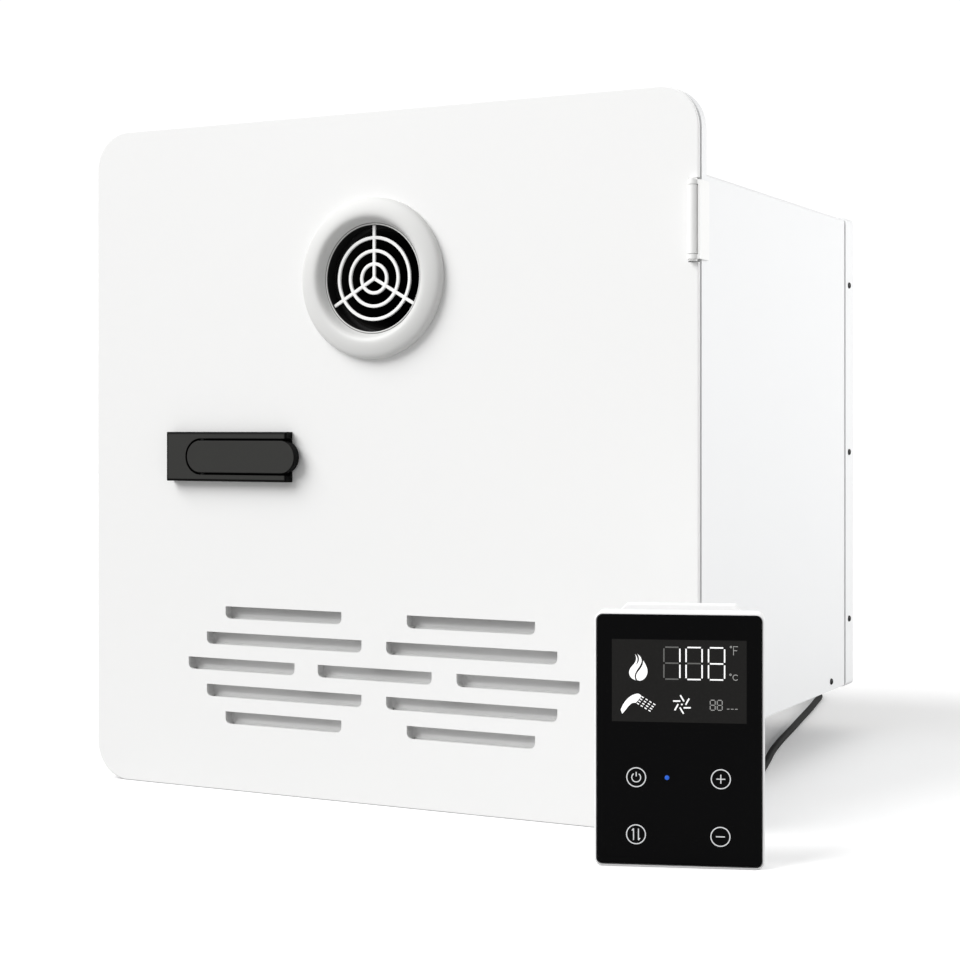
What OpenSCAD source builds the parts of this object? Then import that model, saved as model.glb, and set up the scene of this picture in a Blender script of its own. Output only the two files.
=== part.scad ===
// Tankless gas water heater for a caravan wall, with its wired room controller.
// Millimetres. +Z is up, +X is to the right as seen from outside and +Y runs into the wall.
// The origin is the middle of the wall frame's rear face, which lies on the wall.

/* [Door] */
// Width of the door and of the wall frame
door_w = 381; // [350:1:420]
// Height of the door and of the wall frame
door_h = 381; // [350:1:420]
// Corner radius of the door
door_corner_r = 22; // [16:1:30]
// Thickness of the door sheet
door_sheet = 1.2; // [0.8:0.1:1.6]
// Depth of the door's turned edge
door_edge = 3; // [2.6:0.1:4]
// Gap between the closed door and the frame
door_gap = 1.2; // [1:0.1:2]

/* [Wall frame] */
// Depth of the raised rim in front of the wall
frame_depth = 6.8; // [5:0.1:12]
// Thickness of the frame sheet
frame_sheet = 1.5; // [1:0.1:2]
// Width of the raised rim
rim_w = 14; // [12:0.5:18]
// Length of the throat inside the casing
throat_len = 16; // [12:1:24]
// Radius of the wall screw holes
wall_hole_r = 2.4; // [2:0.1:3]

/* [Casing] */
// Width of the casing
case_w = 316; // [300:1:322]
// Height of the casing
case_h = 316; // [300:1:322]
// Depth of the casing behind the wall's face
case_d = 360; // [340:1:420]
// Thickness of the casing sheet
case_sheet = 1; // [0.8:0.1:1.5]
// Length of the rear cover's flange
cover_flange = 17; // [14:1:24]
// Pitch of the cover screws
cover_screw_pitch = 113.4; // [100:0.2:120]

/* [Exhaust] */
// Height of the exhaust above the middle of the door
exhaust_z = 98.3; // [90:0.1:105]
// Outer radius of the exhaust ring
ring_r = 44.3; // [40:0.1:52]
// Radius of the opening in the exhaust ring
ring_hole_r = 29.3; // [26:0.1:31]
// Height of the exhaust ring in front of the door
ring_rise = 7; // [6:0.5:12]
// Thickness of the grille bars
grille_bar = 1.7; // [1.4:0.1:3]

/* [Louvres] */
// Height of a louvre opening
louvre_h = 7; // [5:0.1:9]
// Distance between louvre rows
louvre_pitch = 15; // [13:0.5:18]
// Height of the top row's upper edge above the door's bottom
louvre_top = 105; // [100:1:120]
// Length of the louvres in the first and last rows
louvre_mid_len = 77.7; // [60:0.1:85]
// Length of the louvres in the second and fourth rows
louvre_long_len = 103.7; // [90:0.1:108]
// Length of the louvres in the middle row
louvre_short_len = 72.7; // [60:0.1:80]
// Distance of the paired louvres from the middle
louvre_pair_x = 59.7; // [56:0.1:66]
// Distance between louvres in the middle row
louvre_row_pitch = 88; // [84:0.1:95]
// Depth of the pressed scoop behind a louvre
louvre_depth = 7; // [5:0.5:9]

/* [Latch] */
// Distance of the latch base's end from the door's left edge
latch_edge = 55.2; // [50:0.1:60]
// Length of the latch base
latch_len = 82.3; // [78:0.1:88]
// Height of the latch base
latch_h = 28.2; // [26:0.1:32]
// Thickness of the latch base
latch_t = 7; // [6.5:0.1:9]
// Length of the lever
lever_len = 73.3; // [68:0.1:77]
// Height of the lever
lever_h = 18.6; // [18:0.1:20]
// Gap round the lever
lever_gap = 0.9; // [0.9:0.1:1.2]
// Radius of the lever's pivot pin
latch_pin_r = 1.5; // [1.2:0.1:2]

/* [Hinges] */
// Distance of each hinge from the middle of the door
hinge_z = 121.3; // [110:0.1:135]
// Length of a hinge
hinge_len = 40; // [34:1:48]
// Thickness of the lugs at the ends of a hinge
hinge_lug = 2.4; // [2:0.1:4]
// Radius of a hinge knuckle
knuckle_r = 2.7; // [2.5:0.1:3]
// Radius of a hinge pin
hinge_pin_r = 1.25; // [1:0.05:1.5]
// Radial clearance of pins and shafts in their bores
run_gap = 0.05; // [0.02:0.01:0.1]

/* [Burner and exchanger] */
// Half width of the burner and the exchanger
stack_hw = 84; // [78:1:88]
// Front face of the burner and the exchanger
stack_y = 135; // [125:1:150]
// Depth of the burner and the exchanger
stack_d = 120; // [112:1:128]
// Height of the burner's floor
burner_z = -82; // [-86:1:-80]
// Height of the burner's top
shell_z = -30; // [-34:1:-26]
// Height of the fin block's bottom
fins_z = 36; // [32:1:40]
// Height of the flue hood's bottom
hood_z = 70; // [66:1:70]
// Height of the flue hood's top
hood_top = 132; // [129:1:140]
// Sheet of the burner, the shell and the hood
stack_sheet = 1.2; // [1:0.1:1.6]
// Radius of the exchanger tubes
tube_r = 7; // [6:0.1:7.5]
// Distance between the exchanger tubes
tube_pitch = 19; // [18:0.2:20]
// Outer radius of the exhaust tube
spigot_r = 28.2; // [26:0.1:29]

/* [Fan] */
// Radius of the fan scroll
scroll_r = 33; // [31:0.5:35]
// Depth of the fan scroll
scroll_d = 50; // [46:1:54]
// Radius of the impeller
impeller_r = 25; // [23:0.5:27]
// Radius of the fan shaft
shaft_r = 2; // [1.5:0.1:2.5]

/* [Pipes] */
// Radius of the gas and water pipes
pipe_r = 7.5; // [6.5:0.1:8]
// Distance of the pipes from the middle plane
pipe_x = 107; // [106:1:118]
// Height of the cold inlet and of the gas inlet
inlet_z = -88; // [-94:1:-84]
// Outer radius of the threaded ends on the rear cover
thread_r = 10.6; // [10:0.1:11]
// Length of the threaded ends
thread_len = 22; // [18:1:28]

/* [Valve and control] */
// Width of the gas valve
valve_w = 40; // [36:1:44]
// Length of the gas valve
valve_len = 62; // [56:1:68]
// Height of the gas valve
valve_h = 48; // [44:1:52]
// How deep the pipes sit in the gas valve
valve_socket = 12; // [8:1:16]
// Radius of the flow sensor
sensor_r = 13; // [11:0.5:14]
// Length of the flow sensor
sensor_len = 58; // [50:1:64]
// Width of the control tray
tray_w = 122; // [116:1:128]
// Depth of the control tray
tray_d = 66; // [60:1:72]
// Height of the control tray
tray_h = 30; // [26:1:34]

/* [Controller] */
// Width of the controller
ctl_w = 80; // [74:1:90]
// Height of the controller
ctl_h = 120; // [110:1:130]
// Depth of the controller's shell
ctl_d = 16; // [14:0.5:20]
// Corner radius of the controller
ctl_r = 4; // [3:0.5:6]
// Thickness of the controller's glass
glass_t = 2; // [1.5:0.1:3]
// Width of the white edge round the glass
ctl_bezel = 1.2; // [0.8:0.1:2]
// Width of the wall bracket
bracket_w = 62; // [56:1:68]
// Depth of the wall bracket
bracket_d = 10; // [8:0.5:12]
// Where the controller's front face stands, to the right
ctl_x = 205.5; // [204:0.5:215]
// Where the controller's front face stands, in front of the wall
ctl_y = -75; // [-90:0.5:-73]
// How far the controller is turned from the door, in degrees
ctl_turn = 18.9; // [12:0.1:22]

/* [Lead] */
// Diameter of the controller's lead
lead_d = 4.5; // [4:0.1:4.6]
// Smallest middle radius of the coil
coil_r_in = 20; // [18:0.5:24]
// Sideways distance between the coil's loops
coil_pitch = 5; // [5:0.1:5.4]
// Whole loops in each layer of the coil
coil_turns = 5; // [3:1:5]

/* [Hidden] */
$fn = 64;

y_frame = -frame_depth;
y_door_back = y_frame - door_gap;
y_door = y_door_back - door_edge;
y_inside = y_door + door_sheet;
floor_z = -door_h / 2;
hw = case_w / 2;
hh = case_h / 2;
fit = 0.2;
throat_t = 1.2;
throat_ox = hw - case_sheet - fit;
throat_oz = hh - case_sheet - fit;
throat_ix = throat_ox - throat_t;
throat_iz = throat_oz - throat_t;
wall_screw_x = (throat_ox + door_w / 2 - rim_w) / 2;
wall_screw_z = (throat_oz + door_h / 2 - rim_w) / 2;
y_cover = case_d - case_sheet;
screw_y = case_d - 10;
screw_hole_r = 1.6;
screw_r = 1.5;
base_screw_z = -hh + 6;
base_screw_y = [47, 313 + case_d - 360];

louvre_z = floor_z + louvre_top;
louvres = [
  for (row = [0, 4]) for (s = [-1, 1]) [s * louvre_pair_x, row, louvre_mid_len],
  for (row = [1, 3]) for (s = [-1, 1]) [s * louvre_pair_x, row, louvre_long_len],
  for (s = [-1, 0, 1]) [s * louvre_row_pitch, 2, louvre_short_len]
];

collar_r = ring_hole_r + 3.5;
y_collar = -4;
spigot_front = -1;

y_latch = y_door - latch_t;
latch_x = -door_w / 2 + latch_edge + latch_len / 2;
lever_x0 = latch_x - latch_len / 2 + 14.9;
lever_x1 = lever_x0 + lever_len;
latch_px = lever_x0 + 9;
latch_py = y_latch + 3.2;
latch_hole_x0 = lever_x0 - 2;
latch_hole_x1 = latch_px + 13;
hook_x0 = -throat_ix + 4.6;
strike_y = 7;

hinge_x = door_w / 2 - 2.5;
hinge_y = y_door - 1.5;
leaf_t = 1.2;
leaf_x = hinge_x + knuckle_r + 0.3;
barrel = hinge_len - 2 * hinge_lug - 0.4;

stack_y1 = stack_y + stack_d;
stack_cy = stack_y + stack_d / 2;
flange_w = 8;
bars_n = 8;
bar_pitch = (2 * stack_hw - 2 * stack_sheet) / (bars_n + 0.5);
nozzle_z = burner_z + 24;
manifold_y = stack_y - 12;
manifold_r = 7;
bar_top = burner_z + 36;
tubes_z = (fins_z + hood_z) / 2;
tube_y = [for (i = [0 : 5]) stack_cy + (i - 2.5) * tube_pitch];

fan_z = burner_z - scroll_r - 0.5;
fan_y0 = stack_cy - scroll_d / 2;
fan_y1 = stack_cy + scroll_d / 2;
duct_x0 = 3;

leg_t = 1.5;
leg_x = stack_hw + leg_t;
floor_in = -hh + case_sheet;
valve_x = -leg_x - valve_w;
valve_y0 = stack_y + 30;
valve_y1 = valve_y0 + valve_len;
valve_z1 = inlet_z + valve_h / 2 + 2;
bend = 12;
sensor_y0 = stack_cy + 40;
sensor_y1 = sensor_y0 + sensor_len;

ctl_z = floor_z;
relief_z = 14;
relief_len = 13;
ctl_back = [
  ctl_x - sin(ctl_turn) * (ctl_d + relief_len),
  ctl_y + cos(ctl_turn) * (ctl_d + relief_len),
  floor_z + relief_z
];
ctl_out = [-sin(ctl_turn), cos(ctl_turn), 0];

gland_x = -10;
gland_z = -135;
gland_end = case_d + 20;
lead_r = lead_d / 2;
lead_z = floor_z + lead_r + 0.1;
coil_z = floor_z + lead_r + 1.3;
coil_layer = coil_pitch;
coil_leg = coil_turns + 0.0625;
coil_r_out = coil_r_in + coil_leg * coil_pitch;
coil_x = gland_x + coil_r_out;
coil_y = case_d + 110;
coil_ring = 24;

// Helpers

module along_y(y0, y1) {
  translate([0, y1, 0]) rotate([90, 0, 0]) linear_extrude(y1 - y0) children();
}

module spin_y(x, z) {
  translate([x, 0, z]) rotate([-90, 0, 0]) rotate_extrude($fn = 96) children();
}

module rod_y(x, z, y0, y1, r) {
  translate([x, y0, z]) rotate([-90, 0, 0]) cylinder(r = r, h = y1 - y0);
}

module rod_x(y, z, x0, x1, r) {
  translate([x0, y, z]) rotate([0, 90, 0]) cylinder(r = r, h = x1 - x0);
}

module rod_z(x, y, z0, z1, r) {
  translate([x, y, z0]) cylinder(r = r, h = z1 - z0);
}

module hex_y(x, z, y0, y1, r) {
  translate([x, y0, z]) rotate([-90, 0, 0]) linear_extrude(y1 - y0) circle(r, $fn = 6);
}

module box(x0, x1, y0, y1, z0, z1) {
  translate([x0, y0, z0]) cube([x1 - x0, y1 - y0, z1 - z0]);
}

module rounded_rect(w, h, r) {
  square([w - 2 * r, h], center = true);
  square([w, h - 2 * r], center = true);
  for (i = [-1, 1]) for (j = [-1, 1]) {
    translate([i * (w / 2 - r), j * (h / 2 - r)]) circle(r);
  }
}

module door_outline(inset) {
  rounded_rect(door_w - 2 * inset, door_h - 2 * inset, door_corner_r - inset);
}

// A pipe along points whose legs run square to each other, with round bends.
module bent_pipe(pts, r, bend_r) {
  last = len(pts) - 1;
  for (i = [0 : last - 1]) {
    d = (pts[i + 1] - pts[i]) / norm(pts[i + 1] - pts[i]);
    a = pts[i] + (i == 0 ? 0 : bend_r) * d;
    b = pts[i + 1] - (i == last - 1 ? 0 : bend_r) * d;
    if (norm(b - a) > 0.01) translate(a) rotate([0, acos(d[2]), atan2(d[1], d[0])]) {
      cylinder(r = r, h = norm(b - a));
    }
  }
  for (i = [1 : last - 1]) {
    a = (pts[i] - pts[i - 1]) / norm(pts[i] - pts[i - 1]);
    b = (pts[i + 1] - pts[i]) / norm(pts[i + 1] - pts[i]);
    c = cross(a, b);
    o = pts[i] - a * bend_r + b * bend_r;
    multmatrix([
      [-b[0], a[0], c[0], o[0]],
      [-b[1], a[1], c[1], o[1]],
      [-b[2], a[2], c[2], o[2]],
      [0, 0, 0, 1]
    ]) rotate_extrude(angle = 90) translate([bend_r, 0]) circle(r);
  }
}

module in_controller() {
  translate([ctl_x, ctl_y, ctl_z]) rotate([0, 0, ctl_turn]) children();
}

// Routes of the lead

function unit(v) = v / norm(v);
function spline(a, b, c, d, t) =
  0.5 * (2 * b + (c - a) * t + (2 * a - 5 * b + 4 * c - d) * t * t
    + (3 * b - a - 3 * c + d) * t * t * t);
function route(pts, n) = [
  for (i = [1 : len(pts) - 3]) for (k = [0 : n - 1])
    spline(pts[i - 1], pts[i], pts[i + 1], pts[i + 2], k / n),
  pts[len(pts) - 2]
];
function heading(pts, i) =
  unit(pts[min(i + 1, len(pts) - 1)] - pts[max(i - 1, 0)]);
function ring(p, dir, r, n) =
  let (side = unit(cross(dir, [0, 0, 1])), up = cross(side, dir))
  [for (k = [0 : n - 1]) p + r * (cos(360 * k / n) * side + sin(360 * k / n) * up)];

module swept(rings) {
  n = len(rings[0]);
  last = len(rings) - 1;
  polyhedron(
    points = [for (loop = rings) for (p = loop) p],
    faces = [
      [for (k = [0 : n - 1]) k],
      for (i = [0 : last - 1]) for (k = [0 : n - 1]) let (m = (k + 1) % n)
        [i * n + k, (i + 1) * n + k, (i + 1) * n + m, i * n + m],
      [for (k = [n - 1 : -1 : 0]) last * n + k]
    ]
  );
}

module lead(pts, first, final, sides) {
  last = len(pts) - 1;
  swept([for (i = [0 : last])
    ring(pts[i], i == 0 ? first : i == last ? final : heading(pts, i), lead_r, sides)]);
}

coil_all = 4 * coil_leg;
function wave(t) = let (u = t % (2 * coil_leg)) abs(u - coil_leg);
function coil_rad(t) = coil_r_in + coil_pitch * wave(t);
function climb(u) = min(1, max(0, 2 * u + 0.5));
function coil_up(t) = coil_layer
  * (climb(t - coil_leg) + climb(t - 2 * coil_leg) + climb(t - 3 * coil_leg));
function coil_at(t) = [
  coil_x + coil_rad(t) * cos(90 + 360 * t),
  coil_y + coil_rad(t) * sin(90 + 360 * t),
  coil_z + coil_up(t)
];
coil_n = round(coil_all * coil_ring);
coil_pts = [for (i = [0 : coil_n]) coil_at(coil_all * i / coil_n)];
coil_in = [coil_x, coil_y + coil_r_out, coil_z];
coil_out = [coil_x - coil_r_out, coil_y, coil_z + 3 * coil_layer];
coil_path = concat([coil_in + [lead_d, 0, 0]], coil_pts, [coil_out - [0, lead_d, 0]]);
self_gap = min([
  for (i = [0 : coil_n - coil_ring]) for (k = [coil_ring - 6 : 1 : 5 * coil_ring])
    if (i + k <= coil_n) norm(coil_pts[i] - coil_pts[i + k])
]) - lead_d;

heater_route = [
  [gland_x, gland_end - 12, gland_z],
  [gland_x, gland_end, gland_z],
  [gland_x, gland_end + 14, gland_z - 1],
  [gland_x, gland_end + 30, gland_z - 9],
  [gland_x, gland_end + 45, (gland_z + coil_out[2]) / 2 - 4],
  [gland_x, gland_end + 61, coil_out[2] + 6],
  [gland_x, gland_end + 75, coil_out[2] + 0.6],
  coil_out - [0, lead_d, 0],
  coil_out + [0, 10, 0]
];
clear_x = door_w / 2 + 6;
controller_route = [
  ctl_back - 12 * ctl_out,
  ctl_back,
  ctl_back + [-2, 14, -3],
  [clear_x, -20, floor_z + 6],
  [clear_x + 3, 2, lead_z + 0.6],
  [clear_x - 1, 32, lead_z],
  [186, 72, lead_z],
  [173, 120, lead_z],
  [160, 169, lead_z],
  [151, 206, lead_z],
  [142, 242, lead_z],
  [133, 286, lead_z],
  [125, 330, lead_z],
  [116, 378, lead_z],
  [107, 426, lead_z],
  [99, 466, lead_z],
  [93, 492, lead_z],
  [82, 512, lead_z + 0.4],
  [63, coil_in[1] + 3, lead_z + 0.8],
  coil_in + [lead_d, 0, 0],
  coil_in - [10, 0, 0]
];

// Wall frame and casing

module wall_frame() {
  color([0.93, 0.93, 0.92]) difference() {
    union() {
      difference() {
        along_y(y_frame, 0) door_outline(0);
        along_y(y_frame - 1, 1) door_outline(rim_w);
        along_y(y_frame + frame_sheet, 1) difference() {
          door_outline(frame_sheet);
          door_outline(rim_w - frame_sheet);
        }
      }
      along_y(-frame_sheet, 0) difference() {
        door_outline(rim_w - frame_sheet);
        square([2 * throat_ix, 2 * throat_iz], center = true);
      }
      along_y(-frame_sheet, throat_len) difference() {
        rounded_rect(2 * throat_ox, 2 * throat_oz, 1.6);
        square([2 * throat_ix, 2 * throat_iz], center = true);
      }
    }
    for (i = [-1, 0, 1]) for (k = [-1, 0, 1]) if (i != 0 || k != 0) {
      rod_y(i * wall_screw_x, k * wall_screw_z, -frame_sheet - 1, 1, wall_hole_r);
    }
  }
}

module wrap_shape(w, top, r, low) {
  translate([-w, low]) square([2 * w, top - r - low]);
  translate([-w + r, top - r]) square([2 * (w - r), r]);
  for (s = [-1, 1]) translate([s * (w - r), top - r]) circle(r);
}

module screw_places(r, inner, outer) {
  for (k = [-1, 0, 1]) for (s = [-1, 1]) {
    at = k * cover_screw_pitch;
    mirror([s < 0 ? 1 : 0, 0, 0]) rod_x(screw_y, at, hw + inner, hw + outer, r);
    mirror([0, 0, s < 0 ? 1 : 0]) rod_z(at, screw_y, hh + inner, hh + outer, r);
  }
}

module base_screw_places(r, inner, outer) {
  for (y = base_screw_y) for (s = [-1, 1]) mirror([s < 0 ? 1 : 0, 0, 0]) {
    rod_x(y, base_screw_z, hw + inner, hw + outer, r);
  }
}

module casing_wrap() {
  color([0.94, 0.94, 0.93]) difference() {
    along_y(0, y_cover) difference() {
      wrap_shape(hw, hh, 2.5, -hh);
      wrap_shape(hw - case_sheet, hh - case_sheet, 1.5, -hh - 1);
    }
    screw_places(screw_hole_r, -6, 2);
    base_screw_places(screw_hole_r, -6, 2);
  }
}

module base_plate() {
  color([0.8, 0.81, 0.82]) difference() {
    union() {
      box(-hw + case_sheet, hw - case_sheet, 0, y_cover, -hh, floor_in);
      for (s = [-1, 1]) mirror([s < 0 ? 1 : 0, 0, 0]) {
        box(hw - 2 * case_sheet, hw - case_sheet, throat_len + 1, y_cover, -hh, -hh + 14);
      }
    }
    screw_places(screw_hole_r, -6, 2);
    base_screw_places(screw_hole_r, -6, 2);
  }
}

module rear_cover() {
  color([0.93, 0.93, 0.92]) difference() {
    along_y(case_d - cover_flange, case_d) {
      rounded_rect(2 * hw + 2 * case_sheet, 2 * hh + 2 * case_sheet, 3);
    }
    along_y(case_d - cover_flange - 1, y_cover) wrap_shape(hw, hh, 2.5, -hh);
    screw_places(screw_hole_r, -6, 3);
    for (z = [inlet_z, tubes_z]) rod_y(pipe_x, z, y_cover - 1, case_d + 1, pipe_r + 1);
    rod_y(-pipe_x, inlet_z, y_cover - 1, case_d + 1, pipe_r + 1);
    for (x = [gland_x, -60]) rod_y(x, gland_z, y_cover - 1, case_d + 1, 6.2);
  }
}

module casing_screws() {
  color([0.12, 0.12, 0.13]) {
    screw_places(screw_r, -4, case_sheet + 0.1);
    screw_places(2.6, case_sheet, case_sheet + 1.6);
    base_screw_places(screw_r, -4.5, 0.1);
    base_screw_places(2.6, 0, 1.6);
  }
}

module strike_plate() {
  color([0.7, 0.71, 0.72]) {
    box(-throat_ix, -throat_ix + 1.5, 1, throat_len - 1, -16, 16);
    box(-throat_ix, -throat_ix + 9, strike_y - 2.5, strike_y, -11, 11);
  }
}

// Hinges

module hinge_bore(z) {
  rod_z(hinge_x, hinge_y, z - hinge_len, z + hinge_len, hinge_pin_r + run_gap);
}

module hinge_frame_leaves() {
  end = hinge_len / 2;
  color([0.9, 0.9, 0.89]) for (s = [-1, 1]) difference() {
    translate([0, 0, s * hinge_z]) union() {
      for (z = [-end, end - hinge_lug]) {
        rod_z(hinge_x, hinge_y, z, z + hinge_lug, knuckle_r);
        box(hinge_x, leaf_x + leaf_t, hinge_y - 1, hinge_y + 1, z, z + hinge_lug);
      }
      box(leaf_x, leaf_x + leaf_t, hinge_y - 1, -0.6, -end, end);
      box(door_w / 2, leaf_x + leaf_t, y_frame, -0.6, -end, end);
    }
    hinge_bore(s * hinge_z);
  }
}

module hinge_pins() {
  color([0.75, 0.75, 0.76]) for (s = [-1, 1]) translate([0, 0, s * hinge_z]) {
    rod_z(hinge_x, hinge_y, -hinge_len / 2 - 0.8, hinge_len / 2 + 0.8, hinge_pin_r);
    rod_z(hinge_x, hinge_y, hinge_len / 2, hinge_len / 2 + 0.9, 2.2);
    rod_z(hinge_x, hinge_y, -hinge_len / 2 - 0.9, -hinge_len / 2, 2.2);
  }
}

module hinge_door_leaves() {
  color([0.9, 0.9, 0.89]) for (s = [-1, 1]) difference() {
    translate([0, 0, s * hinge_z]) union() {
      rod_z(hinge_x, hinge_y, -barrel / 2, barrel / 2, knuckle_r);
      box(hinge_x - 1.6, hinge_x + 0.6, hinge_y, y_inside + leaf_t, -barrel / 2, barrel / 2);
      box(hinge_x - 4, hinge_x + 0.6, y_inside, y_inside + leaf_t, -barrel / 2, barrel / 2);
      box(hinge_x - 22, hinge_x - 3.6, y_inside, y_inside + leaf_t, -hinge_len / 2, hinge_len / 2);
    }
    hinge_bore(s * hinge_z);
  }
}

// Door

module slot_shape(length, h, r) {
  translate([-length / 2, -h + r]) square([length, h - r]);
  translate([-length / 2 + r, -h]) square([length - 2 * r, r]);
  for (s = [-1, 1]) translate([s * (length / 2 - r), -h + r]) circle(r);
}

module each_louvre(y0, y1, wall) {
  for (v = louvres) translate([v[0], 0, louvre_z - v[1] * louvre_pitch]) {
    along_y(y0, y1) slot_shape(v[2] + 2 * wall, louvre_h + wall, 3.2 + wall);
  }
}

module door_panel() {
  color([0.95, 0.95, 0.94]) difference() {
    union() {
      difference() {
        along_y(y_door, y_door_back) door_outline(0);
        along_y(y_inside, y_door_back + 1) door_outline(door_sheet);
      }
      each_louvre(y_inside - 0.4, y_door + louvre_depth + 1, 1);
    }
    each_louvre(y_door - 1, y_door + louvre_depth, 0);
    rod_y(0, exhaust_z, y_door - 1, y_inside + 1, collar_r + 0.2);
    box(latch_hole_x0, latch_hole_x1, y_door - 1, y_inside + 1, -lever_h / 2 - 0.8, lever_h / 2 + 0.8);
    for (s = [-1, 1]) translate([0, 0, s * hinge_z]) {
      box(hinge_x - knuckle_r - 0.4, door_w, y_door - 1, y_door_back + 1,
        -hinge_len / 2 - 1.4, hinge_len / 2 + 1.4);
    }
  }
}

module door_seal() {
  color([0.13, 0.13, 0.13]) difference() {
    along_y(y_inside, y_frame - 0.3) difference() {
      door_outline(3.5);
      door_outline(10.5);
    }
    for (s = [-1, 1]) translate([0, 0, s * hinge_z]) {
      box(hinge_x - 23, door_w, y_door, y_frame, -hinge_len / 2 - 1.4, hinge_len / 2 + 1.4);
    }
  }
}

module exhaust_ring() {
  round_r = 5.5;
  crest = ring_r - round_r;
  front = y_door - ring_rise;
  color([0.9, 0.9, 0.89]) spin_y(0, exhaust_z) difference() {
    polygon([
      [ring_r, y_door], [ring_r, front], [crest, front], [crest - 3.2, front + 0.8],
      [ring_hole_r + 2, y_door - 4.4], [ring_hole_r, y_door - 1.2], [ring_hole_r, y_collar],
      [collar_r, y_collar], [collar_r, y_door]
    ]);
    difference() {
      translate([crest, front - 1]) square([round_r + 1, round_r + 1]);
      translate([crest, front + round_r]) circle(round_r);
    }
  }
}

module exhaust_grille() {
  color([0.92, 0.92, 0.91]) {
    for (r = [22.4, 15.2, 7.95]) {
      spin_y(0, exhaust_z) translate([r - grille_bar / 2, y_door]) square([grille_bar, 2.4]);
    }
    for (a = [90, 210, 330]) translate([0, 0, exhaust_z]) intersection() {
      rotate([0, -a, 0]) box(0, ring_hole_r + 1, y_door + 0.1, y_door + 2.3,
        -grille_bar / 2, grille_bar / 2);
      rod_y(0, 0, y_door - 1, y_door + 4, ring_hole_r - 0.05);
    }
  }
}

module ring_retainer() {
  color([0.65, 0.66, 0.67]) along_y(y_inside, y_inside + 1.2) translate([0, exhaust_z]) {
    difference() {
      circle(collar_r + 7);
      circle(collar_r + 0.1);
    }
  }
}

// Latch

module pill(x0, x1, h) {
  translate([x0 + h / 2, -h / 2]) square([x1 - x0 - h, h]);
  translate([x0 + h / 2, 0]) circle(h / 2);
  translate([x1 - h / 2, 0]) circle(h / 2);
}

module latch_base() {
  color([0.2, 0.2, 0.2]) difference() {
    along_y(y_latch, y_door) translate([latch_x, 0]) rounded_rect(latch_len, latch_h, 1);
    along_y(y_latch - 1, y_door - 1.6) {
      pill(lever_x0 - lever_gap, lever_x1 + 20, lever_h + 2 * lever_gap);
    }
    box(latch_hole_x0, latch_hole_x1, y_door - 3, y_door + 1, -lever_h / 2 - 0.8, lever_h / 2 + 0.8);
    rod_z(latch_px, latch_py, -lever_h / 2 - 3, lever_h / 2 + 3, latch_pin_r + run_gap);
  }
}

module latch_clamp() {
  color([0.6, 0.61, 0.62]) along_y(y_inside, y_inside + 1.2) difference() {
    translate([latch_x, 0]) rounded_rect(latch_len, latch_h, 2.5);
    translate([latch_hole_x0 - 1, -lever_h / 2 - 1.2]) {
      square([latch_hole_x1 - latch_hole_x0 + 2, lever_h + 2.4]);
    }
  }
}

module latch_pin() {
  color([0.72, 0.72, 0.73]) {
    rod_z(latch_px, latch_py, -lever_h / 2 - 2.8, lever_h / 2 + 2.8, latch_pin_r);
  }
}

module latch_spring() {
  turns = 3;
  color([0.6, 0.6, 0.62]) translate([latch_px, latch_py, 0]) {
    pts = [for (i = [0 : 12 * turns]) let (a = 30 * i)
      [2.2 * cos(a), 2.2 * sin(a), 6.1 + 0.75 * i / 12]];
    swept([for (i = [0 : len(pts) - 1]) let (d = heading(pts, i), n = unit([pts[i][0], pts[i][1], 0]))
      [for (k = [0 : 5]) pts[i] + 0.3 * (cos(60 * k) * n + sin(60 * k) * unit(cross(n, d)))]]);
  }
}

module latch_lever() {
  color([0.25, 0.25, 0.25]) difference() {
    union() {
      along_y(y_latch - 0.4, y_door - 2.4) pill(lever_x0, lever_x1, lever_h);
      rod_z(latch_px, latch_py, -lever_h / 2 + 0.4, lever_h / 2 - 0.4, 3.2);
    }
    rod_z(latch_px, latch_py, -lever_h, lever_h, latch_pin_r + run_gap);
    translate([0, 0, 5.6]) {
      rod_z(latch_px, latch_py, 0, 3.4, 3);
    }
    box(latch_px - 4, latch_px + 4, latch_py, y_door, 5.6, 9);
  }
}

module latch_hook() {
  color([0.62, 0.63, 0.64]) difference() {
    union() {
      box(latch_px - 3, latch_px + 3, latch_py + 2.4, strike_y + 5, -5, 5);
      box(hook_x0, latch_px + 3, strike_y + 1, strike_y + 5, -5, 5);
    }
    rod_z(latch_px, latch_py, -6, 6, 3.22);
  }
}

// Burner, exchanger and flue

module stack_walls(z0, z1, t) {
  difference() {
    box(-stack_hw, stack_hw, stack_y, stack_y1, z0, z1);
    box(-stack_hw + t, stack_hw - t, stack_y + t, stack_y1 - t, z0 - 1, z1 + 1);
  }
}

module stack_flange(z0, z1) {
  difference() {
    box(-stack_hw - flange_w, stack_hw + flange_w, stack_y - flange_w, stack_y1 + flange_w, z0, z1);
    box(-stack_hw + 1, stack_hw - 1, stack_y + 1, stack_y1 - 1, z0 - 1, z1 + 1);
  }
}

module chassis_legs() {
  color([0.75, 0.76, 0.77]) for (s = [-1, 1]) mirror([s < 0 ? 1 : 0, 0, 0]) {
    box(stack_hw, leg_x, stack_y + 12, stack_y1 - 12, floor_in, shell_z - 8);
    box(stack_hw, leg_x + 22, stack_y + 12, stack_y1 - 12, floor_in, floor_in + leg_t);
  }
}

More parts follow.
